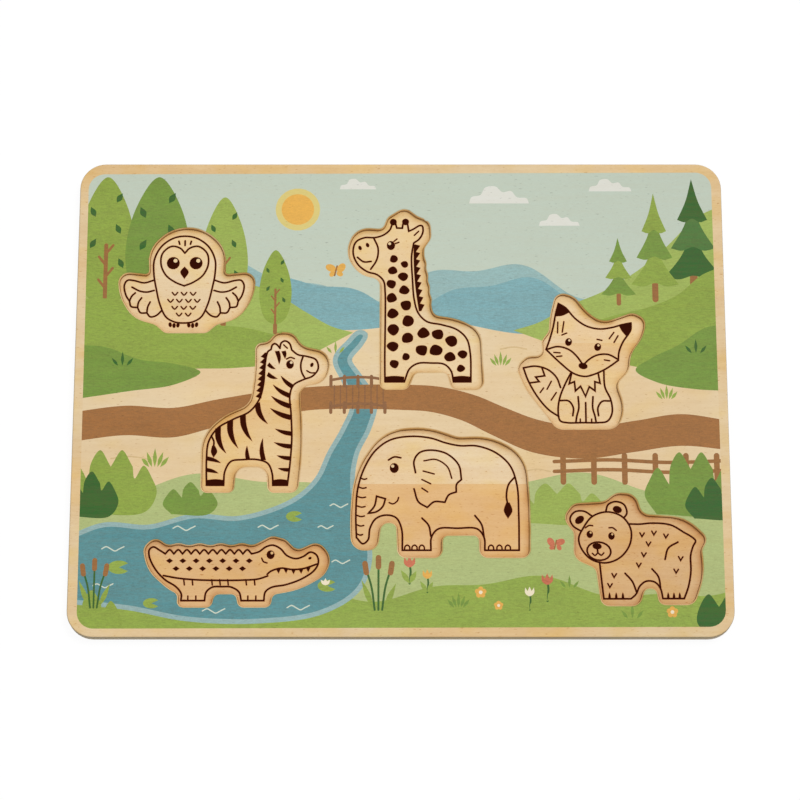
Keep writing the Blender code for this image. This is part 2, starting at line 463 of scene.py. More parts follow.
def rounding(radius, top):
    """The profile of a rounded upper edge: how far in from the side, and how high, at each step down."""
    turns = [math.pi / 2 * k / EDGE_STEPS for k in range(1, EDGE_STEPS + 1)]
    return [(radius * (1 - math.sin(turn)), top - radius * (1 - math.cos(turn))) for turn in turns]


def turning_under(radius, bottom):
    """The profile of a rounded lower edge, from the side in to the bottom."""
    turns = [math.pi / 2 * k / EDGE_STEPS for k in range(EDGE_STEPS, -1, -1)]
    return [(radius * (1 - math.sin(turn)), bottom + radius * (1 - math.cos(turn))) for turn in turns]


def heat_and_shade_at(spots, cuts, heat):
    """How brown the laser's cuts made each of the spots, from 0 to 1, by the way to the cut, with painted
    shade by its facing: more on each cut's far and right sides.
    """
    reaches = [reach for reach, _ in heat]
    heat_and_shade = np.zeros(len(spots))
    for cut in cuts:
        low, high = cut.min(0) - reaches[-1], cut.max(0) + reaches[-1]
        near = np.flatnonzero(((spots > low) & (spots < high)).all(1))
        ways, shares = apart(spots[near], cut, np.roll(cut, -1, 0))
        nearest = ways.argmin(1)
        share = shares[range(len(near)), nearest, None]
        out = pushed_out(cut)
        facing = out[nearest] * (1 - share) + np.roll(out, -1, 0)[nearest] * share
        hot = np.interp(ways.min(1), reaches, [value for _, value in heat])
        # The facing term paints shade: the browning grows on each cut's far and right sides.
        heat_and_shade[near] = np.maximum(heat_and_shade[near], hot * (PAINTED_SHADE_MEAN + facing @ PAINTED_SHADE_WAY))
    return heat_and_shade


def flat_top(outlines, insets, marks, top, hot=(), heat=(), limit=None):
    """A flat top in metres, inset from each outline and divided along the marks, and its faces' paints.

    Its edges know which outline they lie inside, the place on that outline, and the way out to it. All its
    corners know how much the laser that cut the hot outlines browned them, with painted shade added on
    those cuts' far and right sides.
    """
    ways = [pushed_out(outline) * (1 if k == 0 else -1) for k, outline in enumerate(outlines)]
    rims = [outline - way * inset for outline, way, inset in zip(outlines, ways, insets)]
    guides = [outlines[k] - ways[k] * reach for k in hot for reach, _ in heat if reach > insets[k]]
    places, triangles, paints = divided(rims, marks, guides, limit)
    form = bmesh.new()
    heated_and_shaded = form.verts.layers.float.new("laser_heat_and_shade")
    corners = sorted(set(triangles.flat))
    verts = {corner: form.verts.new((*places[corner] * MM, top * MM)) for corner in corners}
    for corner, value in zip(corners, heat_and_shade_at(places[corners], [outlines[k] for k in hot], heat)):
        verts[corner][heated_and_shaded] = value
    for triangle in triangles:
        form.faces.new([verts[corner] for corner in triangle])
    start, outer, out = (np.concatenate(rows) for rows in (rims, outlines, ways))
    following = np.concatenate([np.roll(np.arange(len(rim)), -1) for rim in rims])
    following += np.repeat([sum(map(len, rims[:k])) for k in range(len(rims))], [len(rim) for rim in rims])
    number = np.repeat(range(len(rims)), [len(rim) for rim in rims])
    knows = [form.verts.layers.float.new(name) for name in ("at_x", "at_y", "way_x", "way_y")]
    inside = form.verts.layers.int.new("outline")
    for vert in {vert for edge in form.edges if edge.is_boundary for vert in edge.verts}:
        gaps, shares = apart(np.array([vert.co.xy]) / MM, start, start[following])
        k = gaps[0].argmin()
        at = between(shares[0, k], 0, 1, outer[k], outer[following[k]])
        way = between(shares[0, k], 0, 1, out[k], out[following[k]])
        for layer, value in zip(knows, (*at, *way)):
            vert[layer] = value
        vert[inside] = int(number[k])
    return form, paints


def with_scorch(marks):
    """The marks, over a band along each burnt one that the heat has only browned."""
    burnt = [mark for mark in marks if mark[0] == BURNT]
    reach = 2 * SCORCH_REACH
    return [*((SCORCHED, points, width + reach, closed) for _, points, width, closed in burnt), *marks]


def burn_in(form, paints, depth):
    """Sinks the burnt faces of a flat top into it, as grooves, and notes which faces are scorched."""
    scorch = form.faces.layers.float.new("scorch")
    form.faces.ensure_lookup_table()
    for k in np.flatnonzero(paints == SCORCHED):
        form.faces[k][scorch] = 1
    burnt = [form.faces[k] for k in np.flatnonzero(paints == BURNT)]
    region = dict.fromkeys([*burnt, *(item for face in burnt for item in (*face.edges, *face.verts))])
    sunk = bmesh.ops.extrude_face_region(form, geom=list(region))["geom"]
    verts = [item for item in sunk if isinstance(item, bmesh.types.BMVert)]
    level = verts[0].co.z - depth * MM / 2
    bmesh.ops.translate(form, verts=verts, vec=(0, 0, -depth * MM))
    for face in form.faces:
        if min(vert.co.z for vert in face.verts) < level:
            face.material_index = GROOVE


def carry_down(form, profiles, sides):
    """Carries the open edges of a flat top down over each outline's own profile, and closes the bottom.

    A profile's rows are the inset, the height and whether the face above has that outline's side finish.
    """
    knows = [form.verts.layers.float[name] for name in ("at_x", "at_y", "way_x", "way_y")]
    inside = form.verts.layers.int["outline"]
    heated_and_shaded = form.verts.layers.float["laser_heat_and_shade"]
    rim = [edge for edge in form.edges if edge.is_boundary]
    middle = (profiles[0][0][1] + profiles[0][-1][1]) / 2
    for row in range(len(profiles[0])):
        grown = bmesh.ops.extrude_edge_only(form, edges=rim)["geom"]
        for item in grown:
            if isinstance(item, bmesh.types.BMVert):
                at_x, at_y, way_x, way_y = (item[layer] for layer in knows)
                inset, height, side = profiles[item[inside]][row]
                item[heated_and_shaded] = 0 if side or height < middle else item[heated_and_shaded]
                item.co = ((at_x - way_x * inset) * MM, (at_y - way_y * inset) * MM, height * MM)
            elif isinstance(item, bmesh.types.BMFace):
                outline = item.verts[0][inside]
                item.smooth = True
                item.material_index = sides[outline] if profiles[outline][row][2] else WOOD
        rim = [item for item in grown if isinstance(item, bmesh.types.BMEdge) and item.is_boundary]
    # The bottom closes only when no two corners of the foot share a place.
    foot = sorted({vert for edge in rim for vert in edge.verts}, key=lambda vert: vert.co[:])
    bmesh.ops.remove_doubles(form, verts=foot, dist=SHORTEST_STEP * MM)
    rim = [edge for edge in form.edges if edge.is_boundary]
    closing = bmesh.ops.triangle_fill(form, use_beauty=True, use_dissolve=False, edges=rim)["geom"]
    for item in closing:
        if isinstance(item, bmesh.types.BMFace):
            item.smooth = False
            item.material_index = WOOD
    bmesh.ops.recalc_face_normals(form, faces=form.faces)


def finished(name, form, materials):
    """An object of that form and those materials."""
    for edge in form.edges:
        edge.smooth = edge.calc_face_angle(math.pi) < SHARP_ANGLE
    mesh = bpy.data.meshes.new(name)
    form.to_mesh(mesh)
    form.free()
    for material in materials:
        mesh.materials.append(material)
    return added(name, mesh)


BARE_ROUGHNESS = (0.52, 0.68)
BARE_GLOSS = 0.3
BURNT_GLOSS = 0.05
BURNT_SHIFT = (0.3, 0.1, 0.2)
GRAIN_BUMP = 0.25
GRAIN_RELIEF = 0.05
GOLD = (255, 250, 222)
WARM = (255, 246, 231)
FLECK = (224, 200, 170)
SCORCH = (214, 160, 116)
MIX_UNDER, MIX_OVER, MIX_OUT = 6, 7, 2


def linear(colour):
    """An sRGB colour of 0 to 255 as the linear values that the shader takes."""
    shares = [channel / 255 for channel in colour]
    return (*(((c + 0.055) / 1.055) ** 2.4 if c > 0.04 else c / 12.92 for c in shares), 1)


def mixed(tree, share, under, over, way="MIX"):
    """One colour mixed over another, or multiplied into it, by a share of 0 to 1."""
    colours = {"Factor": share, MIX_UNDER: under, MIX_OVER: over}
    return node(tree, "ShaderNodeMix", colours, data_type="RGBA", blend_type=way).outputs[MIX_OUT]


def ranged(tree, value, low, high, to_low=0, to_high=1):
    """A value moved from the span between low and high into another, and held inside it."""
    spans = {"Value": value, "From Min": low, "From Max": high, "To Min": to_low, "To Max": to_high}
    return node(tree, "ShaderNodeMapRange", spans).outputs["Result"]


def object_place(tree):
    """The place on a piece, in its object's coordinates."""
    return node(tree, "ShaderNodeTexCoord").outputs["Object"]


def node_group(name, takes, gives):
    """A new node group, what its inputs give, and the node that takes its outputs."""
    group = bpy.data.node_groups.new(name, "ShaderNodeTree")
    for way, sockets in (("INPUT", takes), ("OUTPUT", gives)):
        for socket, kind in sockets.items():
            group.interface.new_socket(name=socket, in_out=way, socket_type="NodeSocket" + kind)
    return group, node(group, "NodeGroupInput").outputs, node(group, "NodeGroupOutput")


def wood_grain():
    """The node group of fine plywood: bands, streaks, short dashes, clouds, grit and a few dark flecks."""
    takes = {"Place": "Vector", "Pale": "Color", "Dark": "Color"}
    gives = {"Colour": "Color", **dict.fromkeys(("Streaks", "Mottling", "Flecks", "Height"), "Float")}
    group, given, result = node_group("wood_grain", takes, gives)

    def noise(scale, detail, roughness, low, high, distortion=0.0):
        """Noise of some scale along X, Y and Z, with its contrast raised between low and high."""
        moved = node(group, "ShaderNodeMapping", {"Vector": given["Place"], "Scale": scale})
        kind = {"Scale": 1, "Detail": detail, "Roughness": roughness, "Distortion": distortion}
        pattern = node(group, "ShaderNodeTexNoise", {"Vector": moved.outputs["Vector"], **kind})
        return ranged(group, pattern.outputs["Fac"], low, high)

    def weighed(*parts):
        """The sum of values, each times its weight."""
        total = 0
        for value, weight in parts:
            total = sum_of(group, "MULTIPLY_ADD", value, weight, total)
        return total

    bands = noise((9, 60, 60), 2, 0.5, 0.3, 0.7, 0.6)
    streaks = noise((26, 620, 620), 4, 0.6, 0.35, 0.65)
    dashes = noise((480, 1900, 1900), 2, 0.6, 0.32, 0.68)
    clouds = noise((42, 70, 70), 3, 0.55, 0.32, 0.68)
    grit = noise((1500, 1500, 1500), 1, 0.5, 0.34, 0.66)
    flecks = noise((420, 1500, 1500), 1, 0.5, 0.67, 0.77)
    gold = noise((60, 110, 110), 2, 0.5, 0.45, 0.75)
    warm = noise((12, 26, 26), 1, 0.5, 0.36, 0.64)
    depth = weighed((bands, 0.30), (streaks, 0.18), (dashes, 0.22), (clouds, 0.30))
    colour = mixed(group, depth, given["Pale"], given["Dark"])
    for share, tint in ((gold, GOLD), (warm, WARM), (flecks, FLECK)):
        colour = mixed(group, share, colour, linear(tint), "MULTIPLY")
    feed(group, result, {
        "Colour": colour,
        "Streaks": weighed((streaks, 0.5), (dashes, 0.5)),
        "Mottling": weighed((dashes, 0.55), (clouds, 0.2), (grit, 0.25)),
        "Flecks": flecks,
        "Height": weighed((streaks, -0.4), (dashes, -0.6), (flecks, -0.8)),
    })
    return group


GRAIN = wood_grain()


def wood_material(name, pale, dark, shift, roughness=None, gloss=BARE_GLOSS):
    """Finely sanded plywood. The shift moves its grain, so that no two pieces have the same."""
    material = bpy.data.materials.new(name)
    material.use_nodes = True
    tree = material.node_tree
    moved = node(tree, "ShaderNodeMapping", {"Vector": object_place(tree), "Location": shift})
    colours = {"Place": moved.outputs["Vector"], "Pale": linear(pale), "Dark": linear(dark)}
    grain = node(tree, "ShaderNodeGroup", colours, node_tree=GRAIN).outputs
    relief = {"Height": grain["Height"], "Strength": GRAIN_BUMP, "Distance": GRAIN_RELIEF * MM}
    feed(tree, tree.nodes["Principled BSDF"], {
        "Base Color": grain["Colour"],
        "Roughness": roughness or ranged(tree, grain["Streaks"], 0, 1, *BARE_ROUGHNESS),
        "Specular IOR Level": gloss,
        "Normal": node(tree, "ShaderNodeBump", relief).outputs["Normal"],
    })
    return material


def veneer_joint():
    """The node group of a second strip of veneer, of another tone, nearer than a line across the board."""
    takes = {"Place": "Vector", "Joint": "Float", "Colour": "Color", "Tint": "Color"}
    group, given, result = node_group("veneer_joint", takes, {"Colour": "Color"})
    parts = node(group, "ShaderNodeSeparateXYZ", {"Vector": given["Place"]})
    nearer = sum_of(group, "LESS_THAN", parts.outputs["Y"], given["Joint"])
    feed(group, result, {"Colour": mixed(group, nearer, given["Colour"], given["Tint"], "MULTIPLY")})
    return group


def browning_and_shade():
    """The node group of a laser's heat and of painted shade: it browns the wood unevenly near a cut, darker
    on the cut's far and right sides as painted shade, and beside a burnt line.
    """
    takes = {"Place": "Vector", "Colour": "Color", "Tint": "Color"}
    group, given, result = node_group("browning_and_shade", takes, {"Colour": "Color"})
    heat = node(group, "ShaderNodeAttribute", attribute_name="laser_heat_and_shade").outputs["Fac"]
    scorch = node(group, "ShaderNodeAttribute", attribute_name="scorch").outputs["Fac"]
    pattern = node(group, "ShaderNodeTexNoise", {"Vector": given["Place"], "Scale": 75, "Detail": 1})
    uneven = ranged(group, pattern.outputs["Fac"], 0.36, 0.6, 0.5, 1.08)
    hot = sum_of(group, "MULTIPLY", heat, uneven, use_clamp=True)
    toasted_and_shaded = mixed(group, hot, given["Colour"], given["Tint"], "MULTIPLY")
    feed(group, result, {"Colour": mixed(group, scorch, toasted_and_shaded, linear(SCORCH), "MULTIPLY")})
    return group


VENEER_JOINT = veneer_joint()
BROWNING_AND_SHADE = browning_and_shade()


def overlay(material, group, tint, **values):
    """Puts a node group, with its tint and values, between a material's colour and its shader."""
    tree = material.node_tree
    entry = tree.nodes["Principled BSDF"].inputs["Base Color"]
    wood = entry.links[0].from_socket
    sources = {"Place": object_place(tree), "Colour": wood, "Tint": linear(tint), **values}
    layer = node(tree, "ShaderNodeGroup", sources, node_tree=group)
    tree.links.new(layer.outputs["Colour"], entry)


groove_brown = wood_material("burnt_groove", (58, 15, 2), (44, 9, 0), BURNT_SHIFT, 0.9, BURNT_GLOSS)
side_brown = wood_material("burnt_side", (190, 142, 88), (158, 110, 62), BURNT_SHIFT, 0.75, BURNT_GLOSS)
drawings = {}


def make_animal(name, marks, pale, dark, shift, toast_and_shade=(234, 216, 178), joint=None):
    """An animal: its form from its CAD outline, its drawing burnt in, its wood, and its place in the part.

    Where its veneer has a joint, that is given as its height on the board and the nearer strip's tint.
    """
    low, high = (np.array(corner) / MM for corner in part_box(name + "_piece"))
    middle = (low + high)[:2] / 2 + (DRAWING_SHIFT, 0)
    drawing = [(paint, np.array(points) + middle, *rest) for paint, points, *rest in marks]
    drawings[name] = drawing
    outline = outlines_at(name + "_piece", (low[2] + high[2]) / 2)[0]
    form, paints = flat_top([outline], [PIECE_TOP_EDGE], with_scorch(drawing), high[2], [0], PIECE_HEAT)
    burn_in(form, paints, GROOVE_DEPTH)
    upper = [(*row, False) for row in rounding(PIECE_TOP_EDGE, high[2])]
    lower = [(*row, row[0] == 0) for row in turning_under(PIECE_EDGE, low[2])]
    carry_down(form, [upper + lower], [SIDE])
    wood = wood_material(name + "_ply", pale, dark, shift)
    if joint:
        overlay(wood, VENEER_JOINT, joint[1], Joint=joint[0] * MM)
    # The tint browns the wood along the cut, darker on its far and right sides as painted shade.
    overlay(wood, BROWNING_AND_SHADE, toast_and_shade)
    piece = finished(name, form, [wood, groove_brown, side_brown])
    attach(piece, name)
    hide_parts(name + "_piece")


OWL_CHEVRONS = (
    (-6.2, (-4.2, 0, 4.2)), (-9.6, (-6.2, -2.1, 2.1, 6.2)), (-13.0, (-4.2, 0, 4.2)), (-16.3, (-2.1, 2.1)),
)
OWL_SIDE = (
    (5.4, 20.9), (10.9, 16.9), (14.1, 10.4), (14.2, 3.4), (12.9, -4), (11.2, -11), (8.2, -17.4), (4.4, -19.8),
)
owl_mask = line(
    (0, 13.6), (2.2, 16), (6.2, 16.9), (10.3, 13.6), (11, 8.2), (8.6, 2.8), (4.2, -0.6), (0, -2.4),
)
owl_wing = line(
    (14, 0.4), (18.6, -0.9), (23.4, 0.2), (26.4, 0.3), (27.8, -2.2), (26.9, -7), (25.2, -9.8), (25.2, -9.8),
    (24.4, -12.4), (21.4, -12.9), (21.4, -12.9), (20, -15.4), (17, -15.5), (17, -15.5), (15.4, -17.4),
    (12.7, -16.8), (10, -14.2),
)
owl_feathers = [
    line((21.4, -12.9), (21, -10.4), (19.6, -8.2)),
    line((17, -15.5), (16.7, -12.7), (15.6, -10.2)),
    line((25.2, -9.8), (24.2, -7.4), (22.6, -5.8)),
    line((13.9, -4.6), (17.2, -5.4), (20.6, -4.9), (24.2, -3)),
]
owl_toes = [dot(2.5, -21.4, 0.75, 1.15, 8), dot(4.3, -21.6, 0.75, 1.2), dot(6.1, -21.2, 0.75, 1.15, -8)]
owl_chest = [
    fine((x - 1.25, y + 0.6), (x, y - 0.7), (x + 1.25, y + 0.6)) for y, row in OWL_CHEVRONS for x in row
]
make_animal(
    "owl",
    [
        loop((0, 21.9), *OWL_SIDE, (0, -20.4), *((-x, y) for x, y in reversed(OWL_SIDE))),
        *mirrored(owl_mask, dot(5.3, 8.7, 3), owl_wing, *owl_feathers, *owl_toes),
        *owl_chest,
        glint(6.3, 9.9, 0.95),
        glint(-4.3, 9.9, 0.95),
        solid((0, 7), (0, 7), (1.9, 4.4), (0, 1), (0, 1), (-1.9, 4.4)),
        line((0, 19.6), (0, 17.4)),
        line((-2.9, 19.4), (-2.5, 18)),
        line((2.9, 19.4), (2.5, 18)),
    ],
    pale=(240, 218, 181),
    dark=(224, 195, 153),
    shift=(0, 0, 0),
)


# The giraffe
# A flat giraffe of light plywood, cut, eased and burnt as the owl is, with a wavy edge where its mane lies.


def strip(start, end, rows, bow=0.0):
    """Points beside the straight way from start to end, given as (share of the way, how far to its left)."""
    (x, y), (end_x, end_y) = start, end
    length = math.dist(start, end)
    points = []
    for share, side in rows:
        left = (side + bow * 4 * share * (1 - share)) / length
        along, up = (end_x - x, end_y - y)
        points.append((x + along * share - up * left, y + up * share + along * left))
    return points


def mane(start, end, locks, height, bow=0.0):
    """A burnt strip of pointed locks of hair to the left of the way from start to end."""
    rows = []
    for k in range(locks):
        rows += [(k / locks, height * 0.35)] * 2 + [((k + 0.8) / locks, height)] * 2
    rows += [(1, height * 0.3)] * 2 + [(1, 0)] * 2 + [(0.66, 0), (0.33, 0)] + [(0, 0)] * 2
    return solid(*strip(start, end, rows, bow)[1:])


def patch(x, y, size, turn):
    """A giraffe's patch: a rounded, uneven, burnt shape."""
    points = []
    for k in range(7):
        angle = math.radians(turn + 360 * k / 7)
        reach = size * (1 + 0.1 * math.sin(2.4 * k + turn))
        points.append((x + reach * math.cos(angle), y + 0.94 * reach * math.sin(angle)))
    return solid(*points)


def hoof(left, right, ground, height):
    """A burnt hoof between both sides of a foot."""
    top = ground + height
    return solid(
        (left, ground), (left, ground), (right, ground), (right, ground), (right, top), (right, top),
        ((left + right) / 2, top + 0.4), (left, top), (left, top),
    )


GIRAFFE_PATCHES = (
    (-8.6, 19.8, 1.9, 10), (-3.6, 17.2, 1.7, 60), (-9.2, 14.2, 2.1, 130), (-4.4, 11.2, 2.2, 20),
    (-9.8, 7.6, 2.2, 80), (-3.8, 4.6, 2.3, 150), (-9.6, 0.8, 2.4, 30), (-3.0, -2.8, 2.5, 100),
    (-9.2, -6.8, 2.5, 50), (-2.0, -10.4, 2.8, 10), (-8.9, -14.6, 2.7, 120), (-2.4, -18.6, 2.6, 70),
    (-9.2, -22.6, 2.5, 20), (5.0, -16.2, 2.7, 90), (4.2, -24.4, 2.7, 40), (11.6, -16.8, 2.6, 0),
    (10.8, -24.4, 2.9, 110), (18.0, -20.0, 2.8, 60), (17.2, -27.6, 2.5, 130), (23.0, -26.4, 2.1, 20),
    (-8.4, -31.0, 2.1, 80), (22.2, -33.2, 1.8, 50), (-3.0, -27.6, 1.8, 10),
)
make_animal(
    "giraffe",
    [
        line(
            (-12.7, -39.6), (-12.8, -28), (-12.6, -10), (-12.7, 4), (-13.4, 9), (-16.4, 12.1), (-21, 13.6),
            (-25.4, 17.2), (-27.6, 22.8), (-26.4, 28), (-22.4, 30.2), (-17.4, 30.3), (-13.4, 31.6),
            (-10.5, 34.1), (-9.6, 36.4),
        ),
        line(
            (0.6, 27.6), (-0.4, 21), (0, 10), (0.8, 0), (2.6, -6.4), (6.6, -10.6), (13.6, -12.2),
            (20.6, -14.6), (25, -19), (26.6, -26), (26.8, -39.6), (26.8, -39.6), (18.8, -39.6),
            (18.8, -39.6), (17.7, -34.4), (14.6, -31.2), (8.6, -30.6), (2.4, -30.8), (-1.4, -33.4),
            (-3.8, -39.6), (-3.8, -39.6), (-12.7, -39.6),
        ),
        line((-7.8, 37), (-7.3, 35), (-7.3, 35), (-4.7, 34.9), (-4.7, 34.9), (-4.4, 37)),
        dot(-8.9, 37.9, 1.6),
        dot(-3.2, 38, 1.6),
        line(
            (-2.2, 36.6), (-1.7, 33.4), (-1.7, 33.4), (0.4, 34.4), (3.4, 36.2), (4.6, 36), (4.9, 33),
            (3.2, 29.6), (0.6, 27.6),
        ),
        fine((0.9, 31.4), (2.9, 33.4)),
        mane((3, -5.6), (0.6, 26.8), 9, -3, 0.8),
        line((-18, 30), (-16, 25), (-16.6, 19.4), (-19.4, 14.8)),
        dot(-24.4, 25.2, 0.75, 1.1, 20),
        dot(-20.9, 26.6, 0.75, 1.1, 20),
        line((-25.6, 20.6), (-22.6, 18.4), (-19.2, 18.6)),
        dot(-10, 26.4, 1.9, 2.2),
        glint(-10.6, 27.3, 0.7),
        fine((-8.6, 28.4), (-7.2, 29.6)),
        fine((-8, 27.3), (-6.3, 28)),
        *(patch(*place) for place in GIRAFFE_PATCHES),
        hoof(-12.7, -3.9, -39.6, 2.4),
        hoof(18.7, 26.8, -39.6, 2.4),
    ],
    pale=(239, 218, 179),
    dark=(223, 194, 150),
    shift=(0.21, 0.07, 0.05),
)


# The fox
# A flat sitting fox of light plywood, cut, eased and burnt as the others are.

make_animal(
    "fox",
    [
        loop(
            (-15, 6), (-13.1, 11.4), (-11.5, 17.2), (-10.4, 23), (-9, 28.2), (-9, 28.2), (-5.8, 26.2),
            (-1.4, 21), (3.6, 17.4), (9.6, 15.9), (15.6, 16.6), (20.4, 18), (24.4, 18.8), (24.4, 18.8),
            (24.2, 15.4), (20.4, 9.4), (18.6, 4.8), (18.2, 0.8), (18.2, 0.8), (13, -2.9), (7.2, -5.8),
            (2.6, -6.9), (-2.6, -5.4), (-8.4, -0.6),
        ),
        solid(
            (-9, 28.2), (-9, 28.2), (-5.8, 26.2), (-3.8, 24), (-3.8, 24), (-7.4, 22.3), (-10.8, 22),
            (-10.8, 22), (-10, 25.2),
        ),
        solid(
            (24.4, 18.8), (24.4, 18.8), (24.2, 15.4), (22.3, 12.2), (22.3, 12.2), (20.2, 14.8), (18.8, 17.5),
            (18.8, 17.5), (21.4, 18.3),
        ),
        fine((-9.4, 19.2), (-9.6, 14)),
        fine((-6.6, 19.4), (-7.4, 14.4)),
        fine((16.4, 14.2), (14.2, 11.2)),
        fine((18.3, 12.6), (16.4, 9.4)),
        line((-14.6, 6.1), (-9.4, 7.4), (-4.2, 5.8), (-0.8, 2.6), (1.4, -0.6)),
        line((18.2, 1.2), (13.6, 3.6), (8.8, 3.4), (5.2, 1.6), (2.6, -0.8)),
        dot(1.9, -1.9, 2.1, 1.5, -12),
        dot(-4.6, 9.6, 1.55, 1.85, -15),
        glint(-4.2, 10.4, 0.55),
        dot(8.8, 7.2, 1.55, 1.85, -15),
        glint(9.2, 8, 0.55),
        fine((-7.6, 13), (-5.4, 13.9)),
        fine((8.6, 10.9), (10.8, 10.4)),
        fine((-11.4, 4.6), (-8.6, 4.4)),
        fine((-10.2, 2.6), (-7.8, 2.9)),
        fine((14.2, 0.6), (11.8, 1)),
        line(
            (-3.6, -5), (-6.4, -10.4), (-9, -17), (-9.9, -23.6), (-9, -28), (-6, -28.9), (1.6, -28.9),
            (8.4, -28.9), (12.6, -28.2), (14.8, -24.4), (14.4, -18.2), (11.8, -12), (11.4, -4),
        ),
        line(
            (-3.4, -5.4), (-4.6, -10.4), (-4.6, -10.4), (-2.2, -9.4), (-2.2, -9.4), (-1.8, -13.8),
            (-1.8, -13.8), (0.6, -11.6), (0.6, -11.6), (2.8, -16.4), (2.8, -16.4), (4.6, -11.8),
            (4.6, -11.8), (7.2, -13.8), (7.2, -13.8), (7.2, -9.4), (7.2, -9.4), (9.6, -10.2), (9.6, -10.2),
            (8.8, -5.4),
        ),
        line((-0.6, -16.6), (-0.4, -22), (-1.4, -26), (-1.8, -28.6)),
        line((6.2, -16.6), (6, -22), (7, -26), (7.4, -28.6)),
        line((2.8, -19.4), (2.8, -28.6)),
        line((-8.8, -18.4), (-5, -18.6), (-2.9, -21.8), (-3.2, -25.6)),
        line((13.9, -18.6), (10.4, -18.8), (8.4, -21.8), (8.6, -25.6)),
        fine((0.2, -28.6), (0.2, -27.2)),
        fine((5.4, -28.6), (5.4, -27.2)),
        line(
            (-9.6, -26), (-14.4, -22.6), (-19.4, -16.4), (-23.4, -9), (-25.6, -2.8), (-25.6, -2.8), (-20, -2),
            (-14.4, -3.6), (-10.4, -7.4), (-8.6, -12.2),
        ),
        line(
            (-22.7, -10), (-18.4, -9.4), (-18.4, -9.4), (-20, -7.2), (-20, -7.2), (-15.8, -6.6),
            (-15.8, -6.6), (-17, -2.8),
        ),
        fine((-12.8, -9.2), (-14.8, -13)),
        fine((-10.6, -14.6), (-13, -18.2)),
        fine((-16.4, -12.4), (-18, -14.6)),
    ],
    pale=(242, 221, 187),
    dark=(225, 197, 158),
    shift=(0.43, 0.13, 0.11),
    joint=(25.3, (252, 245, 232)),
)


# The zebra
# A flat zebra of light plywood, cut, eased and burnt as the others are, with wedge-shaped burnt stripes.


def stripe(start, end, width, bow=0.0):
    """A burnt wedge, broad at its start and pointed at its end."""
    half = [(0, 0.5), (0.35, 0.46), (0.7, 0.28), (1, 0)]
    rows = [half[0], *half, *((share, -side) for share, side in reversed(half)), (0, -0.5)]
    return solid(*strip(start, end, [(share, side * width) for share, side in rows], bow))


ZEBRA_STRIPES = (
    ((9.2, 29.4), (9.9, 25.8), 1.9, 0.2), ((6.2, 29.4), (7.2, 23), 2, 0.4),
    ((13.4, 12.4), (8, 17.6), 2, 0.4), ((12.3, 8), (4.4, 13.4), 2.2, 0.6), ((12.6, 3), (3.6, 8), 2.3, 0.6),
    ((13, -2.4), (3.2, 2.2), 2.4, 0.6), ((2, 18.4), (6.6, 16.2), 1.9, -0.4),
    ((2.2, 23.2), (5.6, 20.8), 1.7, -0.3), ((-2.6, 4.4), (2.4, -5.4), 2.6, -1.2),
    ((-9.2, -0.9), (-4.6, -13.6), 2.8, -1.3), ((-14.9, -3.6), (-11, -17), 2.8, -1.4),
    ((-20.4, -7.2), (-16.4, -19.4), 2.7, -1.4), ((0.6, -22.4), (0.2, -12), 2.2, 0.7),
    ((-6.4, -22.4), (-7, -15.6), 1.9, 0.3), ((13.4, -10), (5.6, -7.6), 2.1, 0.4),
    ((13.2, -16), (5.2, -14), 2.1, 0.4), ((12.9, -21.6), (6.6, -20.2), 1.9, 0.3),
    ((12.3, -27), (7.2, -26.2), 1.7, 0.2), ((-25.3, -21.6), (-18.8, -23.8), 1.9, 0.3),
    ((-25.3, -27), (-19.8, -28.6), 1.8, 0.2),
)
make_animal(
    "zebra",
    [
        line(
            (3.4, 30.2), (2, 29.2), (1.3, 27), (0.6, 21), (0.2, 14), (-1.6, 6.6), (-6, 0.6), (-13.6, -3.2),
            (-20.6, -7.4), (-24.6, -13.8), (-25.4, -22), (-25.2, -34.2), (-25.2, -34.2), (-17.4, -34.2),
            (-17.4, -34.2), (-16.9, -27.6), (-14.2, -23), (-9, -22.2), (-2, -22.2), (2.6, -24),
            (4.6, -28.6), (5, -34.2), (5, -34.2), (11.6, -34.2), (11.6, -34.2), (12.7, -24), (13.4, -12),
            (12.9, 0), (12.3, 8.4), (14, 13.2), (18.6, 15.8), (22.6, 17.4), (25.2, 21), (24.2, 25.2),
            (20.2, 26.8), (15.8, 27.7), (13, 29.9),
        ),
        line((3.4, 30.2), (3.9, 32.2), (5, 33), (6.3, 32.3), (7.5, 30.7)),
        line((7.5, 30.7), (8, 33.2), (9.7, 34.3), (11.8, 33.2), (13, 29.9)),
        fine((9.2, 32.4), (10.9, 30.8)),
        mane((1.6, 28.6), (-0.8, 6.8), 8, -2.6, -0.1),
        dot(12.2, 23, 1.75, 2.05),
        glint(12.8, 23.9, 0.65),
        fine((10.6, 25.6), (12.4, 26.4), (14.2, 25.8)),
        line((18.2, 26.9), (17.2, 23.2), (17.6, 19.4), (19.2, 16.3)),
        dot(22.3, 22.8, 0.7, 1.05, -20),
        fine((23.9, 19), (21.8, 19), (20, 20)),
        *(stripe(*place) for place in ZEBRA_STRIPES),
        line((-23.4, -11), (-22.2, -13.6), (-22.3, -16.6)),
        solid(
            (-22.9, -15.6), (-22.9, -15.6), (-21.7, -15.7), (-21.7, -15.7), (-20.6, -18.4), (-22.2, -21.2),
            (-22.2, -21.2), (-23.4, -18.6),
        ),
        hoof(-25.2, -17.3, -34.2, 2.4),
        hoof(4.9, 11.7, -34.2, 2.4),
    ],
    pale=(240, 218, 182),
    dark=(222, 193, 152),
    shift=(0.64, 0.2, 0.17),
    joint=(-2, (250, 242, 222)),
)


# The elephant
# A flat elephant of plywood, cut, eased and burnt as the others are. Its face veneer is joined lengthwise.

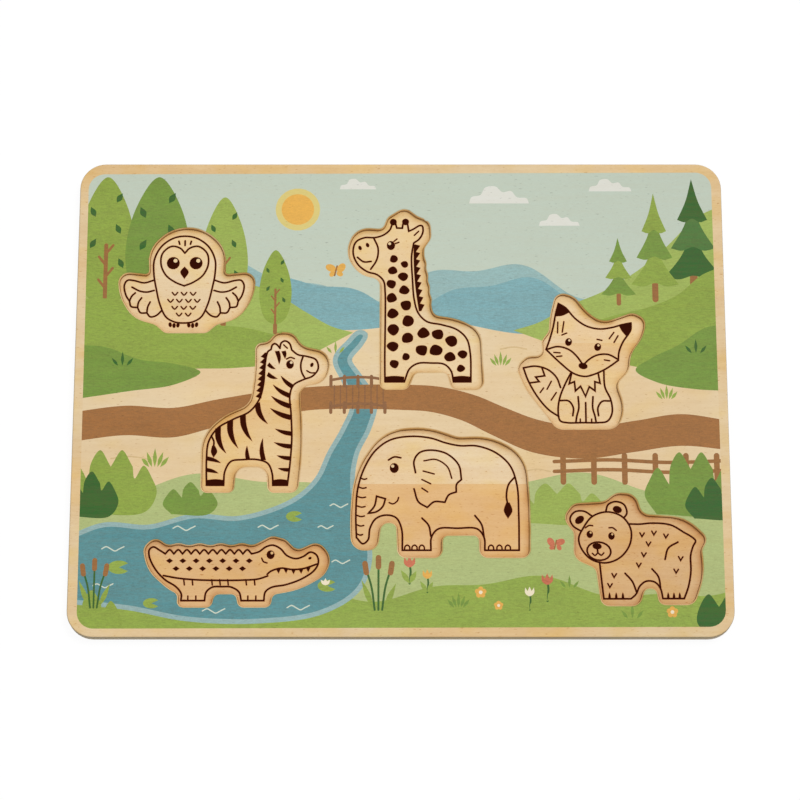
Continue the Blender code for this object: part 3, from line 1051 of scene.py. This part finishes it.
ELEPHANT_TRUNK_FOLDS = (
    (-35.1, 7.2, 3), (-36.0, 3, 3.6), (-36.6, -1.4, 4), (-36.8, -5.8, 4), (-36.9, -10.2, 3.8),
    (-36.8, -14.6, 3.4), (-36.7, -18.8, 2.8),
)
elephant_folds = [
    fine((x, y), (x + reach * 0.6, y - 0.7), (x + reach, y - 0.4)) for x, y, reach in ELEPHANT_TRUNK_FOLDS
]
elephant_toes = [
    fine((x - 1.2, -26.3), (x - 1, -24.8), (x, -24.1), (x + 1, -24.8), (x + 1.2, -26.3))
    for x in (-13.7, -10.4, -7.1, 24.2, 28, 31.8)
]
make_animal(
    "elephant",
    [
        loop(
            (-36.7, -20.6), (-37, -10), (-36.2, 2), (-33.2, 11.8), (-28.2, 20), (-21.4, 25), (-12.4, 26.7),
            (-3, 25.9), (4, 23.6), (10.4, 22.3), (18, 22.2), (26.4, 19.2), (33, 13.2), (36.2, 4),
            (36.9, -10), (36.9, -26.5), (36.9, -26.5), (21.4, -26.5), (21.4, -26.5), (21.1, -20.6),
            (18, -16.6), (9, -16.3), (0.4, -16.6), (-2.7, -20.4), (-3, -26.5), (-3, -26.5), (-15.9, -26.5),
            (-15.9, -26.5), (-16.3, -16.4), (-18.8, -11.4), (-23.4, -10.2), (-28, -11.9), (-30.6, -16.4),
            (-31.4, -21.6), (-33.8, -23.5),
        ),
        line(
            (-9.9, 9.6), (-10.6, 15), (-8.2, 18.9), (-3.4, 20.2), (4.2, 18.6), (9.8, 13.2), (11, 6.4),
            (11, 6.4), (8.8, 4.2), (8.6, 0.6), (8.6, 0.6), (5.2, -0.8), (3.4, -4.2), (3.4, -4.2),
            (-1.4, -4), (-4.6, -6.6), (-4.6, -6.6), (-8.6, -4), (-10.6, 2),
        ),
        fine((-6, 15.2), (-0.6, 15.8), (4.6, 12.4), (6.6, 7)),
        fine((-6.4, 10.4), (-1.4, 9)),
        fine((-7, 6.4), (-3, 4.4)),
        fine((-7, 2.4), (-4.4, 0.6)),
        dot(-19.6, 11.8, 2, 2.3),
        glint(-20.3, 12.7, 0.75),
        line((-22.2, 15.6), (-19.6, 17), (-16.6, 16.6)),
        *elephant_folds,
        loop(
            (-27.6, -1.4), (-27.6, -1.4), (-23.6, -2.6), (-23.6, -2.6), (-24.8, -6.2), (-27.6, -8.6),
            (-31.4, -9.4), (-31.4, -9.4), (-28.6, -6),
        ),
        fine((-21.9, -4.4), (-20.2, -5), (-18.2, -3.6), (-17.6, -2)),
        *elephant_toes,
        line((-3, -20), (-4, -15), (-7, -11.6)),
        line((21.1, -20.6), (20, -14.6), (17, -10.4)),
        line((35.3, 7.6), (32.4, 4), (31.4, -1.4), (32, -5.4)),
        solid(
            (31.3, -4.4), (31.3, -4.4), (32.8, -4.4), (32.8, -4.4), (34, -8.2), (32, -11.8), (32, -11.8),
            (30.2, -8.2),
        ),
    ],
    pale=(239, 218, 183),
    dark=(222, 192, 151),
    shift=(0.85, 0.27, 0.23),
    toast_and_shade=(228, 208, 178),
    joint=(-41.6, (247, 230, 206)),
)


# The crocodile
# A flat crocodile of darker plywood, cut, eased and burnt as the others are, with a wavy edge along its
# back.


def sharp(*corners):
    """A burnt shape with straight sides."""
    return solid(*(corner for corner in corners for _ in range(2)))


crocodile_ridge = []
for k in range(10):
    x = -31 + 3.9 * k
    crocodile_ridge += [(x, 8.6), (x, 8.6), (x + 1.95, 10.5)]
crocodile_teeth = [
    sharp((x - 1.1, y), (x + 1.1, y + 0.1), (x + 0.1, y - 2.1))
    for x, y in ((20.2, 1.7), (23.6, 1.8), (27, 1.4), (30.4, 1.6), (33.6, 2.3))
]
crocodile_scales = [
    sharp((x - 1.5, y), (x, y + 1.1), (x + 1.5, y), (x, y - 1.1))
    for first, y in ((-29, 5.4), (-26, 1.8))
    for x in range(first, 10, 6)
]
crocodile_plates = [fine((x, -3.3), (x + 0.3, -5.7)) for x in (-22.4, -18.6, -9.8, -6.2, -2.6, 5.6, 9.4)]
crocodile_toes = [fine((x, -12.7), (x, -10.8)) for x in (-20.4, -16.8, 6.6, 10.2)]
make_animal(
    "crocodile",
    [
        line(
            (-23.5, -12.9), (-23.4, -9.8), (-25.8, -6.6), (-31, -3.2), (-35.4, 1.6), (-38.2, 7.4),
            (-38.2, 10.6), (-36.4, 11.8), (-33.8, 10.4), *crocodile_ridge, (8, 8.6), (8, 8.6), (11.4, 9.6),
            (14.4, 11.8), (17.6, 12.6), (21, 11), (24, 7.8), (28, 6.4), (31.4, 7.4), (34.6, 9.4), (37.4, 8),
            (38.2, 4.4), (36.2, 0.8), (30.6, -3), (23.6, -5.6), (17, -6.9), (14.4, -9), (13.8, -12.9),
            (13.8, -12.9), (3.6, -12.9), (3.6, -12.9), (2.6, -9), (-1, -6.7), (-5.2, -6.5), (-9.4, -6.7),
            (-12.2, -9), (-12.9, -12.9), (-12.9, -12.9), (-23.5, -12.9),
        ),
        line((15.2, -0.8), (16.8, 0.6), (21.4, 2), (26.4, 1.4), (31.4, 1.8), (37.9, 4)),
        *crocodile_teeth,
        dot(16.6, 8.2, 1.8, 2),
        glint(17.2, 9, 0.65),
        dot(34.4, 6.6, 0.75, 0.55, 25),
        fine((12.6, 6.6), (13.4, 5), (15, 4.4)),
        *crocodile_scales,
        line((-31.6, -1.4), (-25, -2.6), (-16, -3.4), (-6, -3.6), (4, -3.5), (11, -3), (15.4, -1.6)),
        *crocodile_plates,
        *crocodile_toes,
    ],
    pale=(229, 195, 149),
    dark=(211, 171, 123),
    shift=(1.06, 0.33, 0.29),
    toast_and_shade=(228, 202, 170),
)


# The bear
# A flat bear of darker plywood, cut, eased and burnt as the others are.

BEAR_FUR = (
    (4.4, 7.4), (9.8, 8.2), (15.2, 6.8), (7.2, 3.2), (21.6, -3.6), (19.4, -9.4), (-8.6, -11.4),
    (-10.6, -16), (2.6, -6.6), (5, -1.8),
)
bear_fur = [
    fine((x - 1.1, y + 0.5), (x - 0.2, y - 1.3), (x - 0.2, y - 1.3), (x + 0.9, y + 0.4)) for x, y in BEAR_FUR
]
make_animal(
    "bear",
    [
        loop(
            (-22.6, 9.6), (-18.2, 15.4), (-11.4, 17.6), (-4.6, 15.4), (-0.8, 9.6), (-1.4, 2.4), (-6, -3.6),
            (-12.6, -6), (-19.2, -4.2), (-23.6, 1.2), (-24.4, 5.6),
        ),
        line((-23.2, 8.6), (-27, 11.2), (-28.2, 14.6), (-26, 17.6), (-21.8, 17.9), (-18, 15.5)),
        line((-12, 17.6), (-10.8, 21), (-7.4, 22.4), (-3.6, 21), (-2.4, 17), (-3.9, 14.7)),
        dot(-23.9, 13.9, 2.3, 1.6, 40),
        dot(-6.7, 18.7, 2.1, 1.6, -20),
        ring(-15.4, -0.6, 5.4, 4.2, -8),
        dot(-16.2, 1.7, 2.1, 1.45, -8),
        line((-16.1, 0.4), (-15.9, -1.4)),
        fine((-18.4, -1.6), (-17.2, -2.6), (-15.9, -1.5), (-14.4, -2.5), (-13.2, -1.4)),
        dot(-19.4, 7.2, 1.45, 1.7),
        glint(-19, 8, 0.5),
        dot(-9.6, 6.4, 1.45, 1.7),
        glint(-9.2, 7.2, 0.5),
        fine((-21.4, 10.2), (-19.6, 11.3), (-18, 11.2)),
        fine((-10.6, 10.2), (-8.9, 10.2), (-7.4, 9)),
        line(
            (-1.6, 12), (3, 11.9), (9.4, 12.4), (17.4, 11.5), (23.4, 8), (26.4, 6.2), (28.4, 4.2),
            (27.2, 1.6), (26, -2.6), (25.9, -10), (24.6, -17), (22.6, -22.4), (22.6, -22.4), (13, -22.4),
            (13, -22.4), (12, -17.8), (9.6, -14.9), (5.8, -14.4), (2.8, -16.6), (0.9, -20.4), (-1.4, -22.5),
            (-1.4, -22.5), (-13.6, -22.5), (-13.6, -22.5), (-14.4, -14.4), (-15.2, -5.6),
        ),
        *(stripe((x, -22.3), (x, -19.6), 1.1) for x in (-11, -8, -5, 15.4, 18, 20.6)),
        line((1.2, -19.4), (-0.6, -14.6), (-3.8, -10.8)),
        line((12.1, -18.2), (11.2, -12.4), (8.4, -8.8)),
        line((20.4, 3.6), (16, 0.8), (14.4, -4.4)),
        *bear_fur,
    ],
    pale=(224, 189, 141),
    dark=(205, 162, 113),
    shift=(1.27, 0.4, 0.35),
    toast_and_shade=(228, 202, 170),
)


# The backing board
# A thin plywood board under the face panel. It is glued on, closes the wells, and rounds off the lower edge.
# The animals' drawings are burnt into it at the bottoms of the wells, to show which animal goes where.

BACKING_EDGE = 0.6
JUST_INSIDE = 0.1
PLY_LAYER = 0.62
END_GRAIN_EDGE = (0.27, 0.35)
END_GRAIN = (206, 190, 168)
NO_TINT = (255, 255, 255)

low, high = (np.array(corner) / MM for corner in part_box("backing_board"))
marks = with_scorch([mark for drawing in drawings.values() for mark in drawing])
form, paints = flat_top(outlines_at("backing_board", high[2] - JUST_INSIDE), [0], marks, high[2])
burn_in(form, paints, GROOVE_DEPTH)
carry_down(form, [[(*row, row[0] == 0) for row in turning_under(BACKING_EDGE, low[2])]], [SIDE])


def layered_side(name, pale, dark):
    """The cut edge of plywood: thin layers, with the end grain of every other one showing darker."""
    material = wood_material(name, pale, dark, (0.5, 0.3, 0.1))
    tree = material.node_tree
    entry = tree.nodes["Principled BSDF"].inputs["Base Color"]
    parts = node(tree, "ShaderNodeSeparateXYZ", {"Vector": object_place(tree)})
    wave = sum_of(tree, "PINGPONG", parts.outputs["Z"], PLY_LAYER * MM)
    dark_layer = ranged(tree, wave, *(edge * MM for edge in END_GRAIN_EDGE))
    wood = entry.links[0].from_socket
    tree.links.new(mixed(tree, dark_layer, wood, linear(END_GRAIN), "MULTIPLY"), entry)
    return material


board_side = layered_side("board_side", (200, 192, 172), (172, 162, 142))
backing_wood = wood_material("backing_ply", (232, 208, 168), (212, 182, 136), (1.5, 0.5, 0.4))
overlay(backing_wood, BROWNING_AND_SHADE, NO_TINT)
backing = finished("backing", form, [backing_wood, groove_brown, board_side])
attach(backing, "board")
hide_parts("backing_board")


# The face panel
# A plywood panel with seven cut-outs right through it, glued on the backing board. Its rim is bare.
# A landscape is printed on it in thin matt inks that show the grain. The laser browned the cut-outs' sides
# and edges, and their far and right edges are darker, as painted shade.

PANEL_EDGE = 0.6
WELL_EDGE = 0.5
WELL_FIT = 0.42
PRINT_MARGIN_X, PRINT_MARGIN_Y = 4.3, 4.5
PRINT_SHIFT_Y = -0.15
PRINT_TURN = 0.003
PRINT_CORNER_STEPS = 8
WELL_HEAT = ((0.5, 1), (0.72, 0.5), (1.0, 0))
BARE_EDGE_STEPS = 2
PRINT_CORNER = 7.5
GLUE_GAP, GLUE_LINE = 0.3, 0.03
LEVEL = 0.999
TOP_SLACK = 0.01
NO_INK = (0, 0, 0, 0)
INK_WEAR = 0.93
GRAIN_SHOW = (0.5, 0.02)
INK_PALENESS = (0.3, 0.6)
FLECK_SHOW = -0.26
INKS = {
    "sky": (191, 203, 187),
    "far hill": (118, 165, 171),
    "near hill": (143, 178, 177),
    "sand": (232, 212, 177),
    "sand shade": (211, 181, 132),
    "path": (153, 99, 45),
    "meadow": (171, 184, 119),
    "grass": (138, 162, 62),
    "deep grass": (108, 140, 48),
    "leaf": (134, 158, 57),
    "mid leaf": (146, 168, 72),
    "pale leaf": (154, 175, 82),
    "dark leaf": (18, 84, 4),
    "fir": (62, 108, 40),
    "trunk": (147, 95, 42),
    "bark": (132, 86, 48),
    "water": (77, 136, 142),
    "shore": (142, 174, 173),
    "foam": (205, 214, 196),
    "sun": (230, 174, 74),
    "glow": (218, 200, 120),
    "cloud": (222, 222, 212),
    "red": (194, 104, 72),
    "cream": (238, 226, 196),
    "ochre": (224, 168, 72),
}
INK_COVER = {"sand": 0.35}
ink_numbers = {ink: k + 1 for k, ink in enumerate(INKS)}
landscape = []


def fill(ink, *points):
    """Prints a smooth shape."""
    landscape.append((ink_numbers[ink], curve(points, closed=True), 0, True))


def disc(ink, *shape):
    """Prints an oval."""
    landscape.append((ink_numbers[ink], oval(*shape), 0, True))


def stem(ink, width, *points):
    """Prints a line."""
    landscape.append((ink_numbers[ink], curve(points), width, False))


def leaf(ink, x, y, length, width, angle):
    """Prints a leaf that grows from a point at an angle."""
    tip = (x + length * math.cos(math.radians(angle)), y + length * math.sin(math.radians(angle)))
    rows = [(0, 0), (0, 0), (0.45, -width / 2), (1, 0), (1, 0), (0.45, width / 2)]
    fill(ink, *strip((x, y), tip, rows))


def bush(ink, left, right, foot, height, lobes):
    """Prints a row of round lobes of leaves."""
    step = (right - left) / lobes
    points = [(left + step * 0.4, foot), (left - step * 0.12, foot + height * 0.3)]
    for k in range(lobes):
        share = (k + 0.5) / lobes
        top = foot + height * (0.55 + 0.45 * math.sin(math.pi * share))
        x = left + step * k
        shoulder = top - height * 0.2
        points += [(x + step * 0.1, shoulder), (x + step * 0.5, top), (x + step * 0.9, shoulder)]
        if k < lobes - 1:
            points += [(x + step, top - height * 0.26)] * 2
    fill(ink, *points, (right + step * 0.12, foot + height * 0.3), (right - step * 0.4, foot))


def poplar(x, foot, width, height, ink):
    """Prints a tall narrow tree with its trunk and a few leaves."""
    half = [(0, 1), (0.34, 0.8), (0.5, 0.45), (0.3, 0.16), (0, 0.1)]
    shape = half + [(-u, v) for u, v in half[-2:0:-1]]
    stem("trunk", width * 0.12, (x, foot), (x, foot + height * 0.2))
    fill(ink, *((x + u * width, foot + v * height) for u, v in shape))
    stem("trunk", width * 0.07, (x, foot + height * 0.04), (x, foot + height * 0.52))
    for k, side in enumerate((-1, 1, -1, 1)):
        y = foot + height * (0.22 + 0.08 * k)
        stem("trunk", width * 0.045, (x, y), (x + side * width * 0.12, y + height * 0.06))
    for k, (u, v) in enumerate(((-0.2, 0.72), (0.16, 0.82), (0.24, 0.6), (-0.28, 0.5), (0.3, 0.36))):
        leaf("dark leaf", x + u * width, foot + v * height, width * 0.2, width * 0.1, 60 if k % 2 else 115)


def fir(x, foot, width, height, ink, tier_ink):
    """Prints a fir of three tiers."""
    stem("trunk", width * 0.13, (x, foot), (x, foot + height * 0.3))
    for k in range(3):
        reach = width * (1 - 0.24 * k) / 2
        base = foot + height * (0.14 + 0.25 * k)
        top = base + height * 0.4 if k < 2 else foot + height
        waist, hem = base + (top - base) * 0.45, base - height * 0.02
        dip = base + height * 0.012
        half = [(0, top), (0, top), (0.42, waist), (1, base), (1, base), (0.5, hem), (0, dip)]
        shape = half + [(-u, v) for u, v in half[-2:1:-1]]
        fill(tier_ink if k % 2 else ink, *((x + u * reach, v) for u, v in shape))


def cloud(x, y, width):
    """Prints a cloud with a flat foot."""
    rows = (
        (-1, 0), (-1, 0), (-0.92, 0.22), (-0.62, 0.3), (-0.46, 0.56), (-0.12, 0.6), (0.12, 0.4),
        (0.4, 0.44), (0.6, 0.22), (0.92, 0.18), (1, 0), (1, 0),
    )
    fill("cloud", *((x + u * width / 2, y + v * width / 2) for u, v in rows))


def tuft(x, y, size, ink, blades):
    """Prints a fan of blades of grass."""
    for k in range(blades):
        lean = 2 * k / (blades - 1) - 1
        leaf(ink, x + lean * size * 0.28, y, size * (1 - 0.3 * abs(lean)), size * 0.2, 90 - lean * 38)


def tulip(x, y, size, ink="red"):
    """Prints a tulip."""
    stem("dark leaf", size * 0.08, (x, y), (x + size * 0.04, y + size * 0.5), (x, y + size * 0.72))
    leaf("grass", x, y, size * 0.62, size * 0.2, 122)
    leaf("grass", x, y, size * 0.56, size * 0.2, 62)
    half = [
        (0, 1.06), (0, 1.06), (0.09, 0.86), (0.09, 0.86), (0.2, 1.02), (0.2, 1.02), (0.2, 0.76), (0, 0.62),
    ]
    shape = half + [(-u, v) for u, v in half[-2:1:-1]]
    fill(ink, *((x + u * size, y + v * size) for u, v in shape))


def buttercup(x, y, size, ink="ochre"):
    """Prints a flower of five round petals."""
    for k in range(5):
        angle = math.radians(90 + 72 * k)
        disc(ink, x + size * 0.3 * math.cos(angle), y + size * 0.3 * math.sin(angle), size * 0.24)
    disc("cream", x, y, size * 0.17)


def butterfly(x, y, size, ink, tilt=15):
    """Prints a butterfly."""
    for side in (-1, 1):
        disc(ink, x + side * size * 0.3, y + size * 0.16, size * 0.32, size * 0.22, side * 38 + tilt)
        disc(ink, x + side * size * 0.22, y - size * 0.2, size * 0.2, size * 0.15, -side * 35 + tilt)
    stem("trunk", size * 0.09, (x - size * 0.08, y - size * 0.3), (x + size * 0.06, y + size * 0.28))


def bulrushes(x, y, size):
    """Prints three bulrushes between two leaves."""
    for k in (-1, 0, 1):
        top = (x + k * size * 0.26, y + size * (1 - 0.13 * abs(k)))
        stem("dark leaf", size * 0.045, (x + k * size * 0.08, y), (x + k * size * 0.15, y + size * 0.5), top)
        tip = (top[0] + k * size * 0.03, top[1] + size * 0.14)
        stem("trunk", size * 0.12, (top[0], top[1] - size * 0.06), tip)
    leaf("leaf", x - size * 0.1, y, size * 0.72, size * 0.12, 112)
    leaf("leaf", x + size * 0.12, y, size * 0.64, size * 0.12, 66)


def lily_pad(x, y, size, flowers=False):
    """Prints a floating leaf, with a flower on it or not."""
    turns = [math.radians(35 + 290 * k / 12) for k in range(13)]
    edge = [(x + size * math.cos(turn), y + size * 0.62 * math.sin(turn)) for turn in turns]
    fill("grass", (x, y), (x, y), edge[0], *edge, edge[-1])
    if flowers:
        for angle in (90, 50, 130):
            leaf("cream", x - size * 0.2, y + size * 0.05, size * 0.75, size * 0.34, angle)


def ripple(x, y, size):
    """Prints a small wave."""
    rows = ((-1, 0), (-0.6, 0.2), (-0.2, 0), (0.2, -0.2), (0.6, 0), (1, 0.2))
    stem("foam", 0.55, *((x + u * size, y + v * size) for u, v in rows))


def land(ink, level, waves):
    """Prints land up to a rolling skyline: a level plus waves, each of a height, a length and a shift."""
    points = [(-150, -112), (-150, -112)]
    for k in range(51):
        x = 6 * k - 150
        swell = sum(height * math.sin(2 * math.pi * (x - shift) / length) for height, length, shift in waves)
        point = (x, level + swell)
        points += [point, point] if k in (0, 50) else [point]
    fill(ink, *points, (150, -112), (150, -112))


# From far to near: the sky, the hills and the sand
fill(
    "sky", (-150, -112), (-150, -112), (150, -112), (150, -112), (150, 112), (150, 112), (-150, 112),
    (-150, 112),
)
disc("glow", -48, 90, 10.4)
disc("sun", -48, 90, 7.6)
for place in ((46, 93, 28), (74, 82, 19), (-20, 100, 17), (98, 99, 20)):
    cloud(*place)
land("near hill", 55, ((8, 118, 10), (3, 47, 0)))
land("far hill", 49, ((7, 96, -70), (2.5, 41, 12)))
land("sand", 31, ((3, 190, -40), (1.6, 71, 0)))

# A slope with poplars at the left, and one with firs at the right
fill(
    "pale leaf", (-150, 92), (-150, 92), (-136, 90), (-118, 80), (-98, 66), (-78, 56), (-60, 50), (-44, 40),
    (-32, 33), (-22, 30), (-22, 30), (-40, 20), (-40, 20), (-150, 20), (-150, 20),
)
for place in (
    (-137, 36, 27, 70, "leaf"), (-82, 34, 22, 62, "mid leaf"), (-113, 34, 30, 72, "deep grass"),
    (-58, 30, 15, 40, "leaf"),
):
    poplar(*place)
fill(
    "leaf", (-150, 46), (-150, 46), (-132, 46), (-112, 38), (-90, 34), (-70, 32), (-54, 27), (-44, 21),
    (-52, 16), (-76, 13), (-104, 12), (-128, 6), (-150, 2), (-150, 2),
)
fill(
    "deep grass", (-150, 24), (-150, 24), (-136, 23), (-120, 17), (-104, 15), (-92, 11), (-104, 5),
    (-124, 2), (-150, -2), (-150, -2),
)
fill(
    "pale leaf", (150, 92), (150, 92), (138, 86), (124, 72), (110, 60), (94, 50), (78, 43), (64, 35),
    (52, 31), (52, 31), (76, 22), (76, 22), (150, 22), (150, 22),
)
fir(101, 44, 16, 32, "deep grass", "leaf")
fir(136, 49, 27, 56, "dark leaf", "fir")
fir(118, 46, 22, 52, "leaf", "deep grass")
fill(
    "leaf", (150, 62), (150, 62), (140, 58), (128, 48), (114, 42), (98, 38), (82, 32), (74, 26), (84, 19),
    (106, 14), (128, 10), (150, 8), (150, 8),
)
fill(
    "deep grass", (150, 34), (150, 34), (140, 32), (128, 24), (116, 18), (108, 12), (118, 6), (134, 3),
    (150, 2), (150, 2),
)
tuft(136, 20, 7, "dark leaf", 3)
tuft(-128, 14, 7, "dark leaf", 3)

# The meadow, and the river that comes down from the hills
land("meadow", -43, ((5, 150, 35), (2, 60, 10)))
land("grass", -90, ((4.5, 128, 20), (1.8, 52, 0)))
RIVER = (
    (-150, -68), (-150, -68), (-134, -62), (-114, -63), (-94, -58), (-74, -59), (-58, -55), (-46, -49),
    (-37, -40), (-31.5, -28), (-25, -16), (-21, -5), (-25, 7), (-29, 17), (-23, 25), (-19, 29),
    (-17.4, 28.6), (-19.2, 25), (-24.6, 17), (-19.4, 8), (-13, -3), (-15.4, -15), (-21, -27), (-23, -39),
    (-22, -50), (-18, -62), (-15, -76), (-20, -90), (-36, -100), (-64, -104), (-96, -103), (-122, -98),
    (-150, -95), (-150, -95),
)
landscape.append((ink_numbers["shore"], curve(RIVER, closed=True), 4.4, True))
fill("water", *RIVER)
for place in (
    (-98, -62.5, 5), (-60, -62, 4.5), (-130, -72, 5), (-134, -89, 4.5), (-84, -100.5, 5), (-46, -99, 5),
    (-27, -78, 4), (-28, -52, 4), (-34, -62, 3.4),
):
    ripple(*place)

# The footpath from side to side, with a plank bridge over the river
fill(
    "path", (-150, -8), (-150, -8), (-126, -5), (-104, -6), (-84, -2), (-60, 2), (-40, 4), (-18, 5), (2, 5),
    (18, 4), (34, 0), (48, -6), (64, -12), (86, -15), (108, -12), (128, -9), (150, -12), (150, -12),
    (150, -26), (150, -26), (128, -24), (106, -27), (84, -30), (60, -27), (42, -19), (28, -12), (14, -8),
    (0, -7), (-20, -6.5), (-40, -7), (-60, -10), (-84, -15), (-104, -20), (-126, -19), (-150, -22),
    (-150, -22),
)
for k in range(9):
    stem("bark", 0.6, (-30.4 + 2.8 * k, 4.6), (-30.4 + 2.8 * k, -6.4))
rail = ((-32, 1.6), (-26, 2.6), (-19, 3), (-12, 2.6), (-7, 1.6))
for side in (5.6, -7):
    stem("bark", 1.3, *((x, side + rise) for x, rise in rail))
    for k in range(5):
        stem("bark", 1.5, (-32 + 6.2 * k, side - 1.2), (-32 + 6.2 * k, side + 3.4))
for x, y, size, blades in (
    (-112, -34, 9, 5), (-30, 20, 6, 3), (46, 14, 7, 5), (122, -2, 7, 5), (-6, 16, 5, 3),
):
    tuft(x, y, size, "grass", blades)
for x, y, reach in ((52, 23, 6), (-124, -29, 8), (62, -35, 6)):
    stem("sand shade", 0.7, (x - reach, y - 1), (x, y), (x + reach, y - 1))

# A fence, and bushes along the meadow
for y in (-31.4, -36):
    stem("trunk", 1.7, (70, y), (96, y + 0.8), (122, y - 0.4), (152, y + 0.6))
for k in range(6):
    stem("trunk", 2.6, (74 + 14 * k, -41), (74 + 14 * k, -28.6))
for place in (
    ("leaf", -152, -112, -55, 30, 4), ("dark leaf", -152, -129, -57, 21, 3),
    ("deep grass", -107, -84, -56, 15, 3), ("mid leaf", 50, 92, -60, 19, 4),
    ("deep grass", 112, 152, -56, 30, 4), ("dark leaf", 130, 153, -58, 19, 3),
    ("dark leaf", 134, 152, -112, 22, 2), ("leaf", -152, -126, -113, 22, 3),
):
    bush(*place)
for place in ((-127, -80.5, 5), (-112, -97, 3.8), (-33, -89, 4.4, True), (-48, -57, 4)):
    lily_pad(*place)
bulrushes(-138, -99, 19)
bulrushes(-10, -100, 21)

# Flowers and grass in the meadow, and two butterflies
for place in ((4, -88, 12), (12, -92, 10, "ochre"), (66, -96, 12), (58, -100, 10, "cream")):
    tulip(*place)
for place in ((36, -92, 5), (44, -98, 4), (122, -101, 5), (100, -56, 4, "cream")):
    buttercup(*place)
for x, y, size, blades in ((26, -99, 7, 5), (76, -90, 6, 3), (104, -104, 7, 3)):
    tuft(x, y, size, "deep grass", blades)
butterfly(-30, 60, 8, "ochre")
butterfly(70, -70, 7, "red", -20)

low, high = (np.array(corner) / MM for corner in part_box("face_panel"))
print_x, print_y = high[0] - PRINT_MARGIN_X, high[1] - PRINT_MARGIN_Y
print_limit = []
for quarter, (side_x, side_y) in enumerate(((1, 1), (-1, 1), (-1, -1), (1, -1))):
    for k in range(PRINT_CORNER_STEPS + 1):
        turn = math.pi / 2 * (quarter + k / PRINT_CORNER_STEPS)
        x = side_x * (print_x - PRINT_CORNER) + PRINT_CORNER * math.cos(turn)
        y = side_y * (print_y - PRINT_CORNER) + PRINT_CORNER * math.sin(turn)
        print_limit.append((x - PRINT_TURN * y, y + PRINT_TURN * x + PRINT_SHIFT_Y))
rim, *wells = outlines_at("face_panel", low[2] + JUST_INSIDE)
outlines = [rim, *(well - pushed_out(well) * WELL_FIT for well in wells)]
insets = [PANEL_EDGE] + [WELL_EDGE] * (len(outlines) - 1)
hot = range(1, len(outlines))
form, paints = flat_top(outlines, insets, landscape, high[2], hot, WELL_HEAT, print_limit)
form.faces.ensure_lookup_table()
print_colour = form.loops.layers.float_color.new("print")
ink_colours = [(*linear(colour)[:3], INK_COVER.get(ink, 1)) for ink, colour in INKS.items()]
for face, paint in zip(form.faces, paints):
    for corner in face.loops:
        corner[print_colour] = ink_colours[paint - 1] if paint != BARE else NO_INK
foot = (0, low[2] - GLUE_GAP + GLUE_LINE, True)
profiles = [[*((*row, False) for row in rounding(inset, high[2])), foot] for inset in insets]
for k in range(BARE_EDGE_STEPS, EDGE_STEPS):
    profiles[0][k] = (*profiles[0][k][:2], True)
carry_down(form, profiles, [SIDE] + [SIDE + 1] * (len(outlines) - 1))
for face in form.faces:
    if face.normal.z < LEVEL or face.calc_center_median().z < (high[2] - TOP_SLACK) * MM:
        for corner in face.loops:
            corner[print_colour] = NO_INK


def printed_material():
    """Bare plywood, and on it matt ink that is a little thinner in the grain's hollows and on its flecks.

    The grain shows most through the dark inks.
    """
    material = wood_material("printed_ply", (233, 210, 170), (215, 184, 138), (1.8, 0.6, 0.5))
    tree = material.node_tree
    entry = tree.nodes["Principled BSDF"].inputs["Base Color"]
    wood = entry.links[0].from_socket
    grain = wood.node.outputs
    ink = node(tree, "ShaderNodeAttribute", attribute_name="print").outputs
    worn = ranged(tree, grain["Streaks"], 0, 1, 1, INK_WEAR)
    cover = sum_of(tree, "MULTIPLY", ink["Alpha"], worn)
    paleness = node(tree, "ShaderNodeRGBToBW", {"Color": ink["Color"]}).outputs["Val"]
    show = ranged(tree, paleness, *INK_PALENESS, *GRAIN_SHOW)
    grained = ranged(tree, grain["Mottling"], 0, 1, 0.5, -0.5)
    tone = sum_of(tree, "MULTIPLY_ADD", grained, show, 1)
    spotted = sum_of(tree, "MULTIPLY_ADD", grain["Flecks"], FLECK_SHOW, tone)
    shade = node(tree, "ShaderNodeVectorMath", {0: ink["Color"], "Scale": spotted}, operation="SCALE")
    tree.links.new(mixed(tree, cover, wood, shade.outputs["Vector"]), entry)
    # The cut-outs' edges are browned, darker on their far and right sides as painted shade.
    overlay(material, BROWNING_AND_SHADE, (216, 190, 148))
    return material


panel = finished("panel", form, [printed_material(), groove_brown, board_side, side_brown])
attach(panel, "board")
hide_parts("face_panel")
